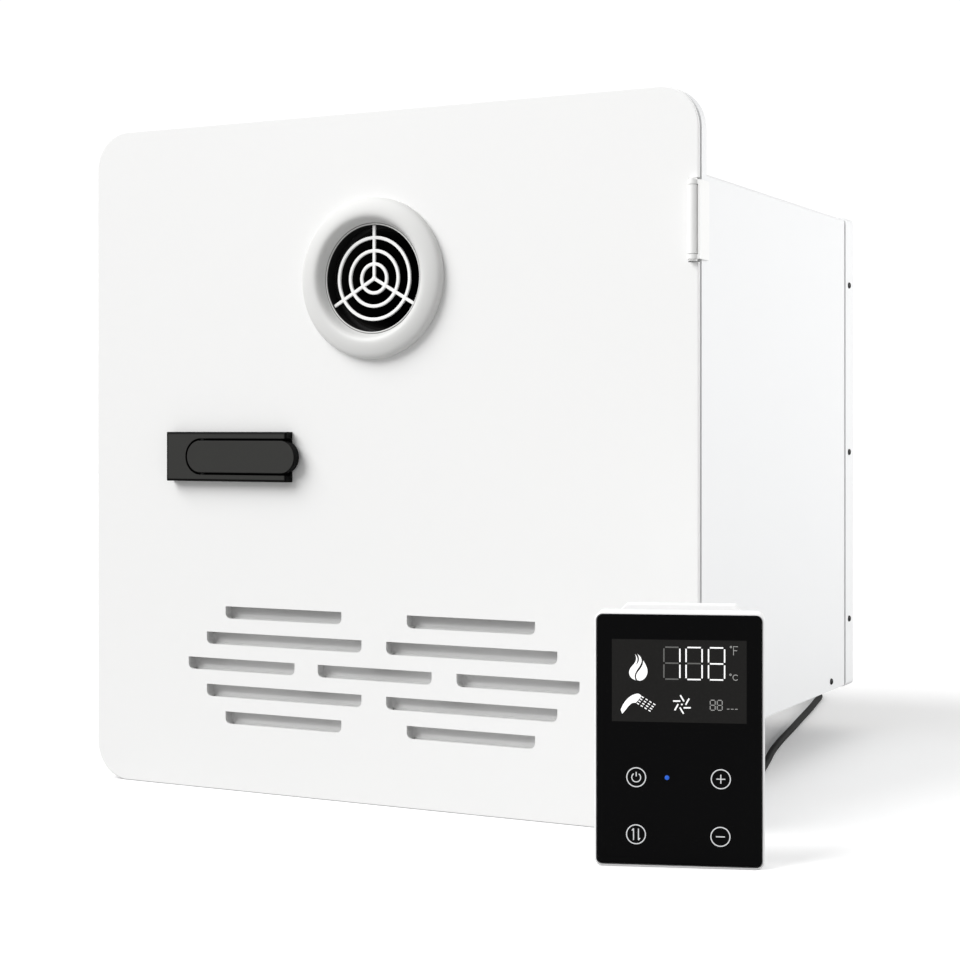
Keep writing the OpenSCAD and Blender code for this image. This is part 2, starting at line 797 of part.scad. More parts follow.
module burner_box() {
  color([0.78, 0.79, 0.8]) difference() {
    union() {
      stack_walls(burner_z, shell_z, stack_sheet);
      stack_flange(shell_z - stack_sheet, shell_z);
      box(-stack_hw, stack_hw, stack_y, stack_y1, burner_z, burner_z + stack_sheet);
    }
    box(duct_x0 + stack_sheet, scroll_r - stack_sheet, fan_y0 + stack_sheet, fan_y1 - stack_sheet,
      burner_z - 1, burner_z + stack_sheet + 1);
    for (i = [0 : bars_n - 1]) {
      rod_y((i - (bars_n - 1) / 2) * bar_pitch, nozzle_z, stack_y - 1, stack_y + 3, 4.5);
    }
    for (x = [26, -46]) rod_y(x, shell_z - 9, stack_y - 1, stack_y + 3, 3.2);
  }
}

module burner_bars() {
  y0 = stack_y + stack_sheet;
  y1 = stack_y1 - stack_sheet;
  color([0.6, 0.58, 0.55]) for (i = [0 : bars_n - 1]) {
    translate([(i - (bars_n - 1) / 2) * bar_pitch, 0, 0]) difference() {
      box(-6, 6, y0, y1, nozzle_z - 9, bar_top);
      rod_y(0, nozzle_z, y0 - 1, y1 - 8, 4);
      for (k = [0 : 8]) box(-3.5, 3.5, y0 + 14 + 11 * k, y0 + 16 + 11 * k, nozzle_z, bar_top + 1);
    }
  }
}

module gas_manifold() {
  end = 3.5 * bar_pitch + 6;
  color([0.8, 0.68, 0.4]) {
    rod_x(manifold_y, nozzle_z, -end - 4, end + 4, manifold_r);
    for (i = [0 : bars_n - 1]) {
      rod_y((i - (bars_n - 1) / 2) * bar_pitch, nozzle_z, manifold_y, stack_y + 5, 2.5);
    }
    for (s = [-1, 1]) mirror([s < 0 ? 1 : 0, 0, 0]) {
      box(end - 1, end + 3, manifold_y, stack_y, nozzle_z - 4, nozzle_z + 4);
    }
  }
}

module exchanger_shell() {
  color([0.75, 0.45, 0.28]) {
    stack_walls(shell_z, fins_z, stack_sheet);
    stack_flange(shell_z, shell_z + stack_sheet);
  }
}

module exchanger_fins() {
  color([0.78, 0.48, 0.3]) difference() {
    union() {
      stack_walls(fins_z, hood_z, stack_sheet);
      for (i = [-6 : 6]) {
        x = i * (stack_hw - 6) / 6.5;
        box(x - 0.5, x + 0.5, stack_y + 1, stack_y1 - 1, fins_z, hood_z);
      }
    }
    for (y = tube_y) rod_x(y, tubes_z, -stack_hw - 1, stack_hw + 1, tube_r + 0.1);
  }
}

module u_bend(x, y, s) {
  translate([x, y, tubes_z]) rotate([0, 0, s > 0 ? -90 : 90]) {
    rotate_extrude(angle = 180) translate([tube_pitch / 2, 0]) circle(tube_r);
  }
}

module exchanger_tubes() {
  end = stack_hw + 5;
  color([0.74, 0.43, 0.26]) {
    for (y = tube_y) rod_x(y, tubes_z, -end, end, tube_r);
    for (i = [0, 2, 4]) u_bend(-end, tube_y[i] + tube_pitch / 2, -1);
    for (i = [1, 3]) u_bend(end, tube_y[i] + tube_pitch / 2, 1);
  }
}

module flue_hood() {
  color([0.77, 0.78, 0.79]) difference() {
    box(-stack_hw, stack_hw, stack_y, stack_y1, hood_z, hood_top);
    box(-stack_hw + stack_sheet, stack_hw - stack_sheet, stack_y + stack_sheet,
      stack_y1 - stack_sheet, hood_z - 1, hood_top - stack_sheet);
    rod_y(0, exhaust_z, stack_y - 1, stack_y + 3, spigot_r + 0.2);
  }
}

module exhaust_spigot() {
  color([0.55, 0.55, 0.56]) difference() {
    union() {
      rod_y(0, exhaust_z, spigot_front, stack_y + 5, spigot_r);
      rod_y(0, exhaust_z, stack_y - 1.5, stack_y, spigot_r + 5);
    }
    rod_y(0, exhaust_z, spigot_front - 1, stack_y + 6, spigot_r - 1.2);
  }
}

module spigot_seal() {
  color([0.15, 0.15, 0.15]) spin_y(0, exhaust_z) {
    translate([spigot_r + 0.05, spigot_front]) square([3, 7]);
  }
}

// Fan

module scroll_shape(inset, top) {
  translate([0, fan_z]) circle(scroll_r - inset);
  translate([duct_x0 + inset, fan_z]) square([scroll_r - duct_x0 - 2 * inset, top - fan_z]);
}

module fan_housing() {
  color([0.7, 0.71, 0.72]) difference() {
    union() {
      along_y(fan_y0, fan_y1) scroll_shape(0, burner_z);
      box(duct_x0 - 6, scroll_r + 6, fan_y0 - 6, fan_y1 + 6, burner_z - 1.5, burner_z);
    }
    along_y(fan_y0 + stack_sheet, fan_y1 - stack_sheet) scroll_shape(stack_sheet, burner_z + 1);
    rod_y(0, fan_z, fan_y0 - 1, fan_y0 + 3, impeller_r - 7);
    rod_y(0, fan_z, fan_y1 - 3, fan_y1 + 1, 5);
  }
}

module fan_motor() {
  color([0.25, 0.26, 0.28]) difference() {
    union() {
      rod_y(0, fan_z, fan_y1, fan_y1 + 4, 24);
      rod_y(0, fan_z, fan_y1 + 3, fan_y1 + 34, 20);
    }
    rod_y(0, fan_z, fan_y1 - 1, fan_y1 + 22, shaft_r + run_gap);
  }
}

module fan_impeller() {
  y0 = fan_y0 + 6;
  y1 = fan_y1 - 8;
  color([0.82, 0.83, 0.84]) {
    rod_y(0, fan_z, y1 - 1.6, y1, impeller_r);
    rod_y(0, fan_z, y1 - 14, y1, 6);
    rod_y(0, fan_z, y1 - 4, fan_y1 + 20, shaft_r);
    spin_y(0, fan_z) translate([impeller_r - 5, y0]) square([5, 1.6]);
    for (k = [0 : 19]) translate([0, 0, fan_z]) rotate([0, 18 * k, 0]) {
      translate([impeller_r - 4.8, 0, 0]) rotate([0, 30, 0]) box(0, 4.4, y0 + 1, y1 - 1, -0.4, 0.4);
    }
  }
}

// Gas and water

module rear_joint(x, z) {
  hex_y(x, z, case_d, case_d + 6, thread_r + 4);
  rod_y(x, z, case_d + 5, case_d + 6 + thread_len, thread_r);
  hex_y(x, z, y_cover - 6, y_cover, thread_r + 4);
}

module gas_valve() {
  color([0.72, 0.73, 0.74]) difference() {
    box(valve_x, -leg_x, valve_y0, valve_y1, valve_z1 - valve_h, valve_z1);
    rod_y(-pipe_x, inlet_z, valve_y0 - 1, valve_y0 + valve_socket, pipe_r + 0.1);
    rod_y(-pipe_x, inlet_z, valve_y1 - valve_socket, valve_y1 + 1, pipe_r + 0.1);
  }
}

module gas_solenoids() {
  color([0.15, 0.2, 0.3]) for (y = [valve_y0 + 16, valve_y1 - 16]) {
    rod_z(-pipe_x, y, valve_z1, valve_z1 + 28, 11);
    rod_z(-pipe_x, y, valve_z1 + 27, valve_z1 + 32, 4);
  }
}

module gas_pipe() {
  drop = nozzle_z - inlet_z;
  end = -3.5 * bar_pitch - 10;
  color([0.8, 0.68, 0.4]) bent_pipe([
    [-pipe_x, valve_y0 + valve_socket, inlet_z], [-pipe_x, manifold_y, inlet_z],
    [-pipe_x, manifold_y, nozzle_z], [end, manifold_y, nozzle_z]
  ], manifold_r - 1, min(bend, drop / 2));
}

module gas_inlet() {
  color([0.8, 0.68, 0.4]) difference() {
    union() {
      rod_y(-pipe_x, inlet_z, valve_y1 - valve_socket, case_d + 1, pipe_r);
      rear_joint(-pipe_x, inlet_z);
    }
    rod_y(-pipe_x, inlet_z, case_d - 10, case_d + 7 + thread_len, pipe_r - 1.5);
  }
}

module cold_inlet() {
  color([0.8, 0.68, 0.4]) difference() {
    union() {
      rod_y(pipe_x, inlet_z, sensor_y1, case_d + 1, pipe_r);
      rear_joint(pipe_x, inlet_z);
    }
    rod_y(pipe_x, inlet_z, case_d - 10, case_d + 7 + thread_len, pipe_r - 1.5);
  }
}

module flow_sensor() {
  color([0.2, 0.22, 0.24]) {
    rod_y(pipe_x, inlet_z, sensor_y0, sensor_y1, sensor_r);
    box(pipe_x - sensor_r + 1, pipe_x + sensor_r - 1, sensor_y0 + 16, sensor_y1 - 16,
      inlet_z, inlet_z + sensor_r + 9);
  }
}

module cold_pipe() {
  color([0.74, 0.43, 0.26]) bent_pipe([
    [pipe_x, sensor_y0, inlet_z], [pipe_x, tube_y[0], inlet_z],
    [pipe_x, tube_y[0], tubes_z], [stack_hw + 5, tube_y[0], tubes_z]
  ], tube_r, bend);
}

module hot_outlet() {
  color([0.8, 0.68, 0.4]) difference() {
    union() {
      bent_pipe([
        [stack_hw + 5, tube_y[5], tubes_z], [pipe_x, tube_y[5], tubes_z],
        [pipe_x, case_d + 1, tubes_z]
      ], tube_r, bend);
      rear_joint(pipe_x, tubes_z);
    }
    rod_y(pipe_x, tubes_z, case_d - 10, case_d + 7 + thread_len, pipe_r - 1.5);
  }
}

// Ignition and control

module electrode(x) {
  z = shell_z - 9;
  box(x - 10, x + 10, stack_y - 1.5, stack_y, z - 5.5, z + 5.5);
  rod_y(x, z, stack_y - 20, stack_y + 14, 3);
  rod_y(x, z, stack_y + 13, stack_y + 34, 0.9);
}

module igniter() {
  color([0.9, 0.9, 0.86]) electrode(26);
}

module flame_sensor() {
  color([0.88, 0.88, 0.84]) electrode(-46);
}

module spark_module() {
  color([0.18, 0.18, 0.2]) {
    box(leg_x, leg_x + 24, stack_y + 45, stack_y + 95, floor_in + 14, floor_in + 40);
    rod_y(leg_x + 12, floor_in + 27, stack_y + 38, stack_y + 46, 4);
  }
}

tray = [-tray_w - 20, -20, 40, 40 + tray_d];
tray_top = floor_in + tray_h;

module control_tray() {
  color([0.22, 0.23, 0.25]) difference() {
    box(tray[0], tray[1], tray[2], tray[3], floor_in, tray_top);
    box(tray[0] + 2, tray[1] - 2, tray[2] + 2, tray[3] - 2, floor_in + 2, tray_top + 1);
  }
}

module control_board() {
  z = floor_in + 2;
  color([0.1, 0.35, 0.2]) {
    box(tray[0] + 4, tray[1] - 4, tray[2] + 4, tray[3] - 4, z, z + 8);
    box(tray[0] + 14, tray[0] + 38, tray[2] + 10, tray[2] + 30, z + 7, z + 22);
    box(tray[0] + 50, tray[0] + 70, tray[2] + 36, tray[2] + 54, z + 7, z + 18);
    for (k = [0 : 2]) rod_z(tray[1] - 18 - 16 * k, tray[2] + 22, z + 7, z + 24, 5);
    box(tray[1] - 50, tray[1] - 10, tray[3] - 18, tray[3] - 8, z + 7, z + 17);
  }
}

module wire_loom() {
  z = floor_in + 6;
  color([0.1, 0.1, 0.1]) {
    bent_pipe([
      [-60, tray[3], z], [-60, y_cover - 40, z], [-60, y_cover - 40, gland_z], [-60, y_cover - 8, gland_z]
    ], 3.5, 7);
    bent_pipe([
      [tray[1], tray[3] - 14, z], [50, tray[3] - 14, z], [50, y_cover - 66, z], [gland_x, y_cover - 66, z],
      [gland_x, y_cover - 40, z], [gland_x, y_cover - 40, gland_z], [gland_x, y_cover - 8, gland_z]
    ], 3.5, 7);
  }
}

module overheat_switch() {
  color([0.2, 0.2, 0.2]) {
    rod_x(stack_cy, hood_z + 34, stack_hw, stack_hw + 3, 11);
    rod_x(stack_cy, hood_z + 34, stack_hw + 2, stack_hw + 11, 8);
    for (s = [-1, 1]) {
      box(stack_hw + 10, stack_hw + 17, stack_cy - 3, stack_cy + 3,
        hood_z + 33.6 + 4 * s, hood_z + 34.4 + 4 * s);
    }
  }
}

module gland(x, out) {
  rod_y(x, gland_z, y_cover - 8, case_d + out, 6);
  hex_y(x, gland_z, case_d, case_d + 5, 9.5);
  rod_y(x, gland_z, case_d + 4, case_d + out - 3, 7.5);
  hex_y(x, gland_z, y_cover - 4, y_cover, 9.5);
}

module power_gland() {
  color([0.12, 0.12, 0.12]) difference() {
    gland(-60, 18);
    rod_y(-60, gland_z, case_d, case_d + 19, 3.2);
  }
}

module lead_gland() {
  color([0.12, 0.12, 0.12]) gland(gland_x, gland_end - case_d);
}

// Lead

module lead_heater_end() {
  color([0.08, 0.08, 0.08]) lead(route(heater_route, 3), [0, 1, 0], [0, 1, 0], 8);
}

module lead_coil() {
  color([0.08, 0.08, 0.08]) lead(coil_path, [-1, 0, 0], [0, -1, 0], 6);
}

module lead_controller_end() {
  color([0.08, 0.08, 0.08]) lead(route(controller_route, 3), ctl_out, [-1, 0, 0], 8);
}

module coil_tie() {
  tall = 3 * coil_layer + lead_d;
  r0 = coil_r_in - lead_r - 0.4;
  r1 = coil_r_out + lead_r + 0.4;
  color([0.1, 0.1, 0.1]) translate([coil_x, coil_y, coil_z - lead_r]) rotate([0, 0, 235]) {
    difference() {
      box(r0 - 0.8, r1 + 0.8, -3, 3, -0.9, tall + 0.9);
      box(r0, r1, -4, 4, -0.1, tall + 0.1);
    }
    box(r1 + 0.6, r1 + 4, -2.5, 2.5, tall / 2 - 3, tall / 2 + 3);
  }
}

// Controller, drawn with its front face on y = 0 and its foot on z = 0

module ctl_outline(inset) {
  translate([0, ctl_h / 2]) rounded_rect(ctl_w - 2 * inset, ctl_h - 2 * inset, ctl_r - inset);
}

module controller_shell() {
  color([0.94, 0.94, 0.93]) in_controller() {
    difference() {
      along_y(0, ctl_d) ctl_outline(0);
      along_y(-1, glass_t) ctl_outline(ctl_bezel);
      along_y(glass_t - 0.1, ctl_d - 2) ctl_outline(2.8);
    }
    for (i = [-1, 1]) for (k = [-1, 1]) {
      rod_y(i * (ctl_w / 2 - 10), ctl_h / 2 + k * (ctl_h / 2 - 10), glass_t + 5, ctl_d - 1, 3);
    }
  }
}

module controller_glass() {
  color([0.03, 0.03, 0.035]) in_controller() {
    along_y(0, glass_t) ctl_outline(ctl_bezel + 0.1);
  }
}

module controller_lcd() {
  color([0.25, 0.26, 0.27]) in_controller() {
    box(-ctl_w / 2 + 8.4, ctl_w / 2 - 8.4, glass_t, glass_t + 3.4, ctl_h * 0.57, ctl_h - 12.8);
  }
}

module controller_board() {
  color([0.1, 0.35, 0.2]) in_controller() {
    box(-ctl_w / 2 + 5, ctl_w / 2 - 5, glass_t + 3.4, glass_t + 5, 5, ctl_h - 5);
  }
}

module bracket_shape(inset) {
  x = bracket_w / 2 - inset;
  z0 = 32 + inset;
  z1 = ctl_h + 2.3 - inset;
  c = 5;
  polygon([[-x, z0 + c], [-x + c, z0], [x - c, z0], [x, z0 + c],
    [x, z1 - c], [x - c, z1], [-x + c, z1], [-x, z1 - c]]);
}

module controller_bracket() {
  y0 = ctl_d;
  y1 = ctl_d + bracket_d;
  color([0.93, 0.93, 0.92]) in_controller() difference() {
    union() {
      difference() {
        along_y(y0, y1) bracket_shape(0);
        along_y(y0 + 2, y1 + 1) bracket_shape(2);
      }
      for (z = [ctl_h * 0.4, ctl_h * 0.9]) rod_y(0, z, y0 + 1, y1, 6);
    }
    for (z = [ctl_h * 0.4, ctl_h * 0.9]) {
      rod_y(0, z, y0 - 1, y1 + 1, 2.2);
      rod_y(0, z, y0 - 1, y0 + 5, 4.2);
    }
  }
}

module controller_relief() {
  color([0.1, 0.1, 0.1]) in_controller() translate([0, ctl_d, relief_z]) rotate([-90, 0, 0]) {
    cylinder(r = 6.5, h = 2);
    cylinder(r1 = 4.6, r2 = 3.4, h = relief_len);
  }
}

echo(least_gap_in_coil = self_gap);

wall_frame();
casing_wrap();
base_plate();
rear_cover();
casing_screws();
strike_plate();
hinge_frame_leaves();
hinge_pins();
door_panel();
door_seal();
hinge_door_leaves();
exhaust_ring();
exhaust_grille();
ring_retainer();
latch_base();
latch_clamp();
latch_pin();
latch_spring();
latch_lever();
latch_hook();
chassis_legs();
burner_box();
burner_bars();
gas_manifold();
exchanger_shell();
exchanger_fins();
exchanger_tubes();
flue_hood();
exhaust_spigot();
spigot_seal();
fan_housing();
fan_motor();
fan_impeller();
gas_valve();
gas_solenoids();
gas_pipe();
gas_inlet();
cold_inlet();
flow_sensor();
cold_pipe();
hot_outlet();
igniter();
flame_sensor();
spark_module();
control_tray();
control_board();
wire_loom();
overheat_switch();
power_gland();
lead_gland();
lead_heater_end();
lead_coil();
lead_controller_end();
coil_tie();
controller_shell();
controller_glass();
controller_lcd();
controller_board();
controller_bracket();
controller_relief();
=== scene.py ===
import math

import bmesh
import bpy
from mathutils import Matrix, Vector


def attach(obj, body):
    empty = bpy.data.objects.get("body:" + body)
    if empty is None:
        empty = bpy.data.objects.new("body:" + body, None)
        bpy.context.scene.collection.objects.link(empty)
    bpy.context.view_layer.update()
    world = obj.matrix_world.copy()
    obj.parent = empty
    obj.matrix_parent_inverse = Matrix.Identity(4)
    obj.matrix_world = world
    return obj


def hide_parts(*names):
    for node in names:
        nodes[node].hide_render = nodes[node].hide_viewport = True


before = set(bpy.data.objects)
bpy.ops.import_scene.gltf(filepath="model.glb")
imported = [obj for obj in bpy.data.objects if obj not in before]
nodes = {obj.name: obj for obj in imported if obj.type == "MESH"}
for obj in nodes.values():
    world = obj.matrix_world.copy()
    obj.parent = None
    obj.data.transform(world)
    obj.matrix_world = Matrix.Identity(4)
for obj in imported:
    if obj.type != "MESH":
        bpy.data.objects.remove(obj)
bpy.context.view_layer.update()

mm = 0.001
nearby = 0.01
mergeGap = 0.002 * mm
edgeAngle = math.radians(42)
floorHeight = -190.5
print("frame loaded,", len(nodes), "nodes")


# camera, floor and light

studio = {
    "cameraPlace": (0.5393, -0.9055, 0.0161),
    "cameraYaw": 26.43,
    "sensor": 36,
    "lens": 71.21,
    "shift": (-0.0504, -0.0538),
    "clip": (0.02, 50),
    "airStrength": 0.48,
    "wallStrength": 1.05,
    "keyFrom": (-0.58, -0.66, 0.72),
    "keyStrength": 3.1,
    "keySpread": 45,
    "panelFrom": (1.95, 1.05, 0.3),
    "panelAt": (0.16, 0.18, 0),
    "panelSize": 1.4,
    "panelWatts": 36.5,
    "floorSize": 12,
    "floorGlow": 0.12,
    "floorDull": 0.42,
}


def addLight(name, kind, place, target, energy):
    aim = (Vector(target) - Vector(place)).to_track_quat("-Z", "Y").to_euler()
    bpy.ops.object.light_add(type=kind, location=place, rotation=aim)
    lamp = bpy.context.object
    lamp.name = name
    lamp.data.energy = energy
    return lamp.data


def setUpStudio():
    s = studio
    dropAll()
    bpy.ops.object.camera_add(
        location=s["cameraPlace"],
        rotation=(math.pi / 2, 0, math.radians(s["cameraYaw"])),
    )
    camera = bpy.context.object
    camera.name = "photoCamera"
    view = camera.data
    view.sensor_width = s["sensor"]
    view.lens = s["lens"]
    view.shift_x, view.shift_y = s["shift"]
    view.clip_start, view.clip_end = s["clip"]
    scene = bpy.context.scene
    scene.camera = camera
    scene.view_settings.view_transform = "Standard"
    air = bpy.data.worlds.new("studioAir")
    scene.world = air
    air.use_nodes = True
    tree = air.node_tree
    seen = tree.nodes.new("ShaderNodeLightPath")
    both = tree.nodes.new("ShaderNodeMixShader")
    tree.links.new(seen.outputs["Is Camera Ray"], both.inputs[0])
    # the white wall behind is seen brighter than it lights
    wall = tree.nodes.new("ShaderNodeBackground")
    for plug, glow, strength in (
        (1, tree.nodes["Background"], s["airStrength"]),
        (2, wall, s["wallStrength"]),
    ):
        glow.inputs["Color"].default_value = (1, 1, 1, 1)
        glow.inputs["Strength"].default_value = strength
        tree.links.new(glow.outputs[0], both.inputs[plug])
    tree.links.new(both.outputs[0], tree.nodes["World Output"].inputs["Surface"])
    key = addLight("keyLight", "SUN", s["keyFrom"], (0, 0, 0), s["keyStrength"])
    key.angle = math.radians(s["keySpread"])
    panel = addLight("sidePanel", "AREA", s["panelFrom"], s["panelAt"], s["panelWatts"])
    panel.shape = "DISK"
    panel.size = s["panelSize"]


# modelling by hand: select, shape, finish


def dropAll():
    if bpy.context.object and bpy.context.object.mode == "EDIT":
        bpy.ops.object.mode_set(mode="OBJECT")
    bpy.ops.object.select_all(action="DESELECT")


def hold(piece):
    dropAll()
    piece.select_set(True)
    bpy.context.view_layer.objects.active = piece


def settle(name):  # names the new piece and puts its place in its mesh
    piece = bpy.context.object
    piece.name = piece.data.name = name
    bpy.ops.object.transform_apply(location=True, rotation=True, scale=True)
    return piece


def addBlock(name, low, high):
    dropAll()
    bpy.ops.mesh.primitive_cube_add(
        size=1,
        location=[(a + b) / 2 * mm for a, b in zip(low, high)],
        scale=[(b - a) * mm for a, b in zip(low, high)],
    )
    return settle(name)


def addRod(name, radius, start, length, axis="y", sides=48):
    dropAll()
    middle = Vector(start)
    middle["xyz".index(axis)] += length / 2
    bpy.ops.mesh.primitive_cylinder_add(
        vertices=sides, radius=radius * mm, depth=length * mm,
        location=middle * mm, rotation=(math.pi / 2 if axis == "y" else 0, 0, 0),
    )
    return settle(name)


def openEdit(piece, kind, action="DESELECT"):
    hold(piece)
    bpy.ops.object.mode_set(mode="EDIT")
    bpy.ops.mesh.select_mode(type=kind)
    bpy.ops.mesh.select_all(action=action)
    return bmesh.from_edit_mesh(piece.data)


def closeEdit():
    bpy.ops.object.mode_set(mode="OBJECT")


def pickEdges(piece, test):  # test gets both ends, in mm
    cage = openEdit(piece, "EDGE")
    for edge in cage.edges:
        if test(*[v.co / mm for v in edge.verts]):
            edge.select_set(True)
    bmesh.update_edit_mesh(piece.data)


def pickFaces(piece, test):  # test gets the middle, in mm, and the normal
    cage = openEdit(piece, "FACE")
    for face in cage.faces:
        if test(face.calc_center_median() / mm, face.normal):
            face.select_set(True)
    bmesh.update_edit_mesh(piece.data)


def roundEdges(piece, test, radius, segments):
    pickEdges(piece, test)
    bpy.ops.mesh.bevel(offset=radius * mm, segments=segments, profile=0.5, affect="EDGES")
    closeEdit()


def alongY(a, b):
    return abs(a.y - b.y) > 0.5 and (a.xz - b.xz).length < nearby


def inFront(front):  # a test for the edges that lie in the front face
    return lambda a, b: max(a.y, b.y) < front + nearby


def sink(piece, test, inset, move):  # insets the faces and pushes them in
    pickFaces(piece, test)
    bpy.ops.mesh.inset(thickness=inset * mm)
    bpy.ops.mesh.extrude_region_move(TRANSFORM_OT_translate={"value": Vector(move) * mm})
    closeEdit()


def addModifier(piece, kind, **settings):
    made = piece.modifiers.new(kind.title(), kind)
    for key, value in settings.items():
        setattr(made, key, value)
    return made.name


def useModifier(piece, kind, **settings):
    hold(piece)
    bpy.ops.object.modifier_apply(modifier=addModifier(piece, kind, **settings))


def carve(piece, tool, operation="DIFFERENCE"):
    useModifier(piece, "BOOLEAN", object=tool, operation=operation, solver="EXACT")
    bpy.data.objects.remove(tool)


def joinAs(name, pieces):
    hold(pieces[0])
    for piece in pieces:
        piece.select_set(True)
    if len(pieces) > 1:
        bpy.ops.object.join()
    joined = bpy.context.object
    joined.name = joined.data.name = name
    return joined


def putAt(piece, matrix):
    hold(piece)
    piece.matrix_world = matrix
    bpy.ops.object.transform_apply(location=True, rotation=True, scale=True)
    return piece


def copyTo(piece, matrix):
    twin = piece.copy()
    twin.data = piece.data.copy()
    bpy.context.scene.collection.objects.link(twin)
    return putAt(twin, matrix)


def drawLine(name, spots):  # a line of corners through the spots, left in edit mode
    dropAll()
    bpy.ops.mesh.primitive_plane_add(size=mm)
    piece = settle(name)
    openEdit(piece, "VERT", "SELECT")
    bpy.ops.mesh.merge(type="CENTER")
    bpy.ops.transform.translate(value=spots[0] * mm)
    for last, spot in zip(spots, spots[1:]):
        bpy.ops.mesh.extrude_vertices_move(
            TRANSFORM_OT_translate={"value": (spot - last) * mm}
        )
    return piece


def mendMesh():
    bpy.ops.mesh.select_all(action="SELECT")
    bpy.ops.mesh.remove_doubles(threshold=mergeGap)
    bpy.ops.mesh.normals_make_consistent(inside=False)
    closeEdit()


def lathe(name, profile, centre, axis="y", steps=72):  # profile of (radius, along the axis)
    run = "xyz".index(axis)
    line, side = Vector(), Vector()
    line[run] = side[(run + 1) % 3] = 1
    centre = Vector(centre)
    piece = drawLine(name, [centre + side * radius + line * along for radius, along in profile])
    bpy.ops.mesh.select_all(action="SELECT")
    bpy.ops.mesh.spin(steps=steps, angle=2 * math.pi, center=centre * mm, axis=line)
    mendMesh()
    return piece


def arc(cx, cy, radius, start, stop, count):
    spots = []
    for k in range(count + 1):
        a = math.radians(start + (stop - start) * k / count)
        spots.append((cx + radius * math.cos(a), cy + radius * math.sin(a)))
    return spots


def softShade(piece, bevel=0, sharp=35):
    if bevel:
        useModifier(
            piece, "BEVEL", width=bevel * mm, segments=2, limit_method="ANGLE",
            angle_limit=edgeAngle, use_clamp_overlap=True,
        )
    hold(piece)
    bpy.ops.object.shade_smooth_by_angle(angle=math.radians(sharp))
    useModifier(piece, "WEIGHTED_NORMAL", keep_sharp=True)
    return piece


def dress(piece, finish, body, slotName, *stoodFor):
    piece.data.materials.clear()
    piece.data.materials.append(finishes[finish])
    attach(piece, body)
    if stoodFor:
        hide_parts(*stoodFor)


# finishes: sums on shader signals are written as plain sums


def plugIn(tree, plug, value):
    if isinstance(value, Signal):
        tree.links.new(value.socket, plug)
    else:
        plug.default_value = value


class Signal:
    def __init__(self, tree, socket):
        self.tree = tree
        self.socket = socket

    def reckon(self, operation, left, right):
        node = self.tree.nodes.new("ShaderNodeMath")
        node.operation = operation
        for plug, value in zip(node.inputs, (left, right)):
            plugIn(self.tree, plug, value)
        return Signal(self.tree, node.outputs[0])

    def __add__(self, other):
        return self.reckon("ADD", self, other)

    def __sub__(self, other):
        return self.reckon("SUBTRACT", self, other)

    def __rsub__(self, other):
        return self.reckon("SUBTRACT", other, self)

    def __mul__(self, other):
        return self.reckon("MULTIPLY", self, other)

    def __lt__(self, other):
        return self.reckon("LESS_THAN", self, other)

    __radd__ = __add__


class Finish:
    def __init__(self, name):
        self.material = bpy.data.materials.new(name)
        self.material.use_nodes = True
        self.tree = self.material.node_tree
        self.shader = self.tree.nodes["Principled BSDF"]
        self.place = self.add("TexCoord", out="Object")

    def add(self, kind, plugs=None, out=0, **settings):
        node = self.tree.nodes.new("ShaderNode" + kind)
        for key, value in settings.items():
            setattr(node, key, value)
        for key, value in (plugs or {}).items():
            plugIn(self.tree, node.inputs[key], value)
        return Signal(self.tree, node.outputs[out])

    def stretched(self, scale):
        return self.add("Mapping", {"Vector": self.place, "Scale": scale})

    def grain(self, scale, detail=2.0, rough=0.5, place=None):
        plugs = {"Scale": scale, "Detail": detail, "Roughness": rough}
        return self.add("TexNoise", {"Vector": place or self.place, **plugs})

    def cells(self, scale, out):
        return self.add("TexVoronoi", {"Vector": self.place, "Scale": scale}, out)

    def along(self, axis):
        return self.add("SeparateXYZ", {"Vector": self.place}, axis)

    def between(self, value, low, high):
        plugs = {"Value": value, "From Min": low, "From Max": high}
        return self.add("MapRange", plugs, clamp=True)

    def blend(self, mask, first, second):
        plugs = {0: mask}
        for key, colour in ((6, first), (7, second)):
            plugs[key] = colour if isinstance(colour, Signal) else (*colour, 1)
        return self.add("Mix", plugs, 2, data_type="RGBA")

    def bump(self, height, depth, strength):
        plugs = {"Height": height, "Distance": depth * mm, "Strength": strength}
        self.give(Normal=self.add("Bump", plugs))

    def give(self, **plugs):
        for key, value in plugs.items():
            plugIn(self.tree, self.shader.inputs[key.replace("_", " ")], value)
        return self.material


def paintFinish(name, pale, shade, rough=0.4, paintedShadeFrom=None):
    # powder coat with a fine orange peel; behind the given depth it is darkened as painted shade,
    # in the louvre pockets and the turned edge
    f = Finish(name)
    broad = f.grain(7, 3)
    skin = f.grain(620, 2)
    fine = f.grain(2600, 1)
    f.bump(skin * 0.7 + fine * 0.3, 0.10, 0.10)
    tint = f.blend(broad, pale, shade)
    # painted shade: everything deeper than this depth gets a darker tint
    if paintedShadeFrom:
        behind = f.between(f.along("Y") + broad * 0.0003, paintedShadeFrom * mm, (paintedShadeFrom + 1.4) * mm)
        tint = f.blend(behind, tint, [c * 0.89 for c in shade])
    f.give(Base_Color=tint, Roughness=rough + broad * 0.10 + fine * 0.05)
    return f.give(Coat_Weight=0.12, Coat_Roughness=0.22)


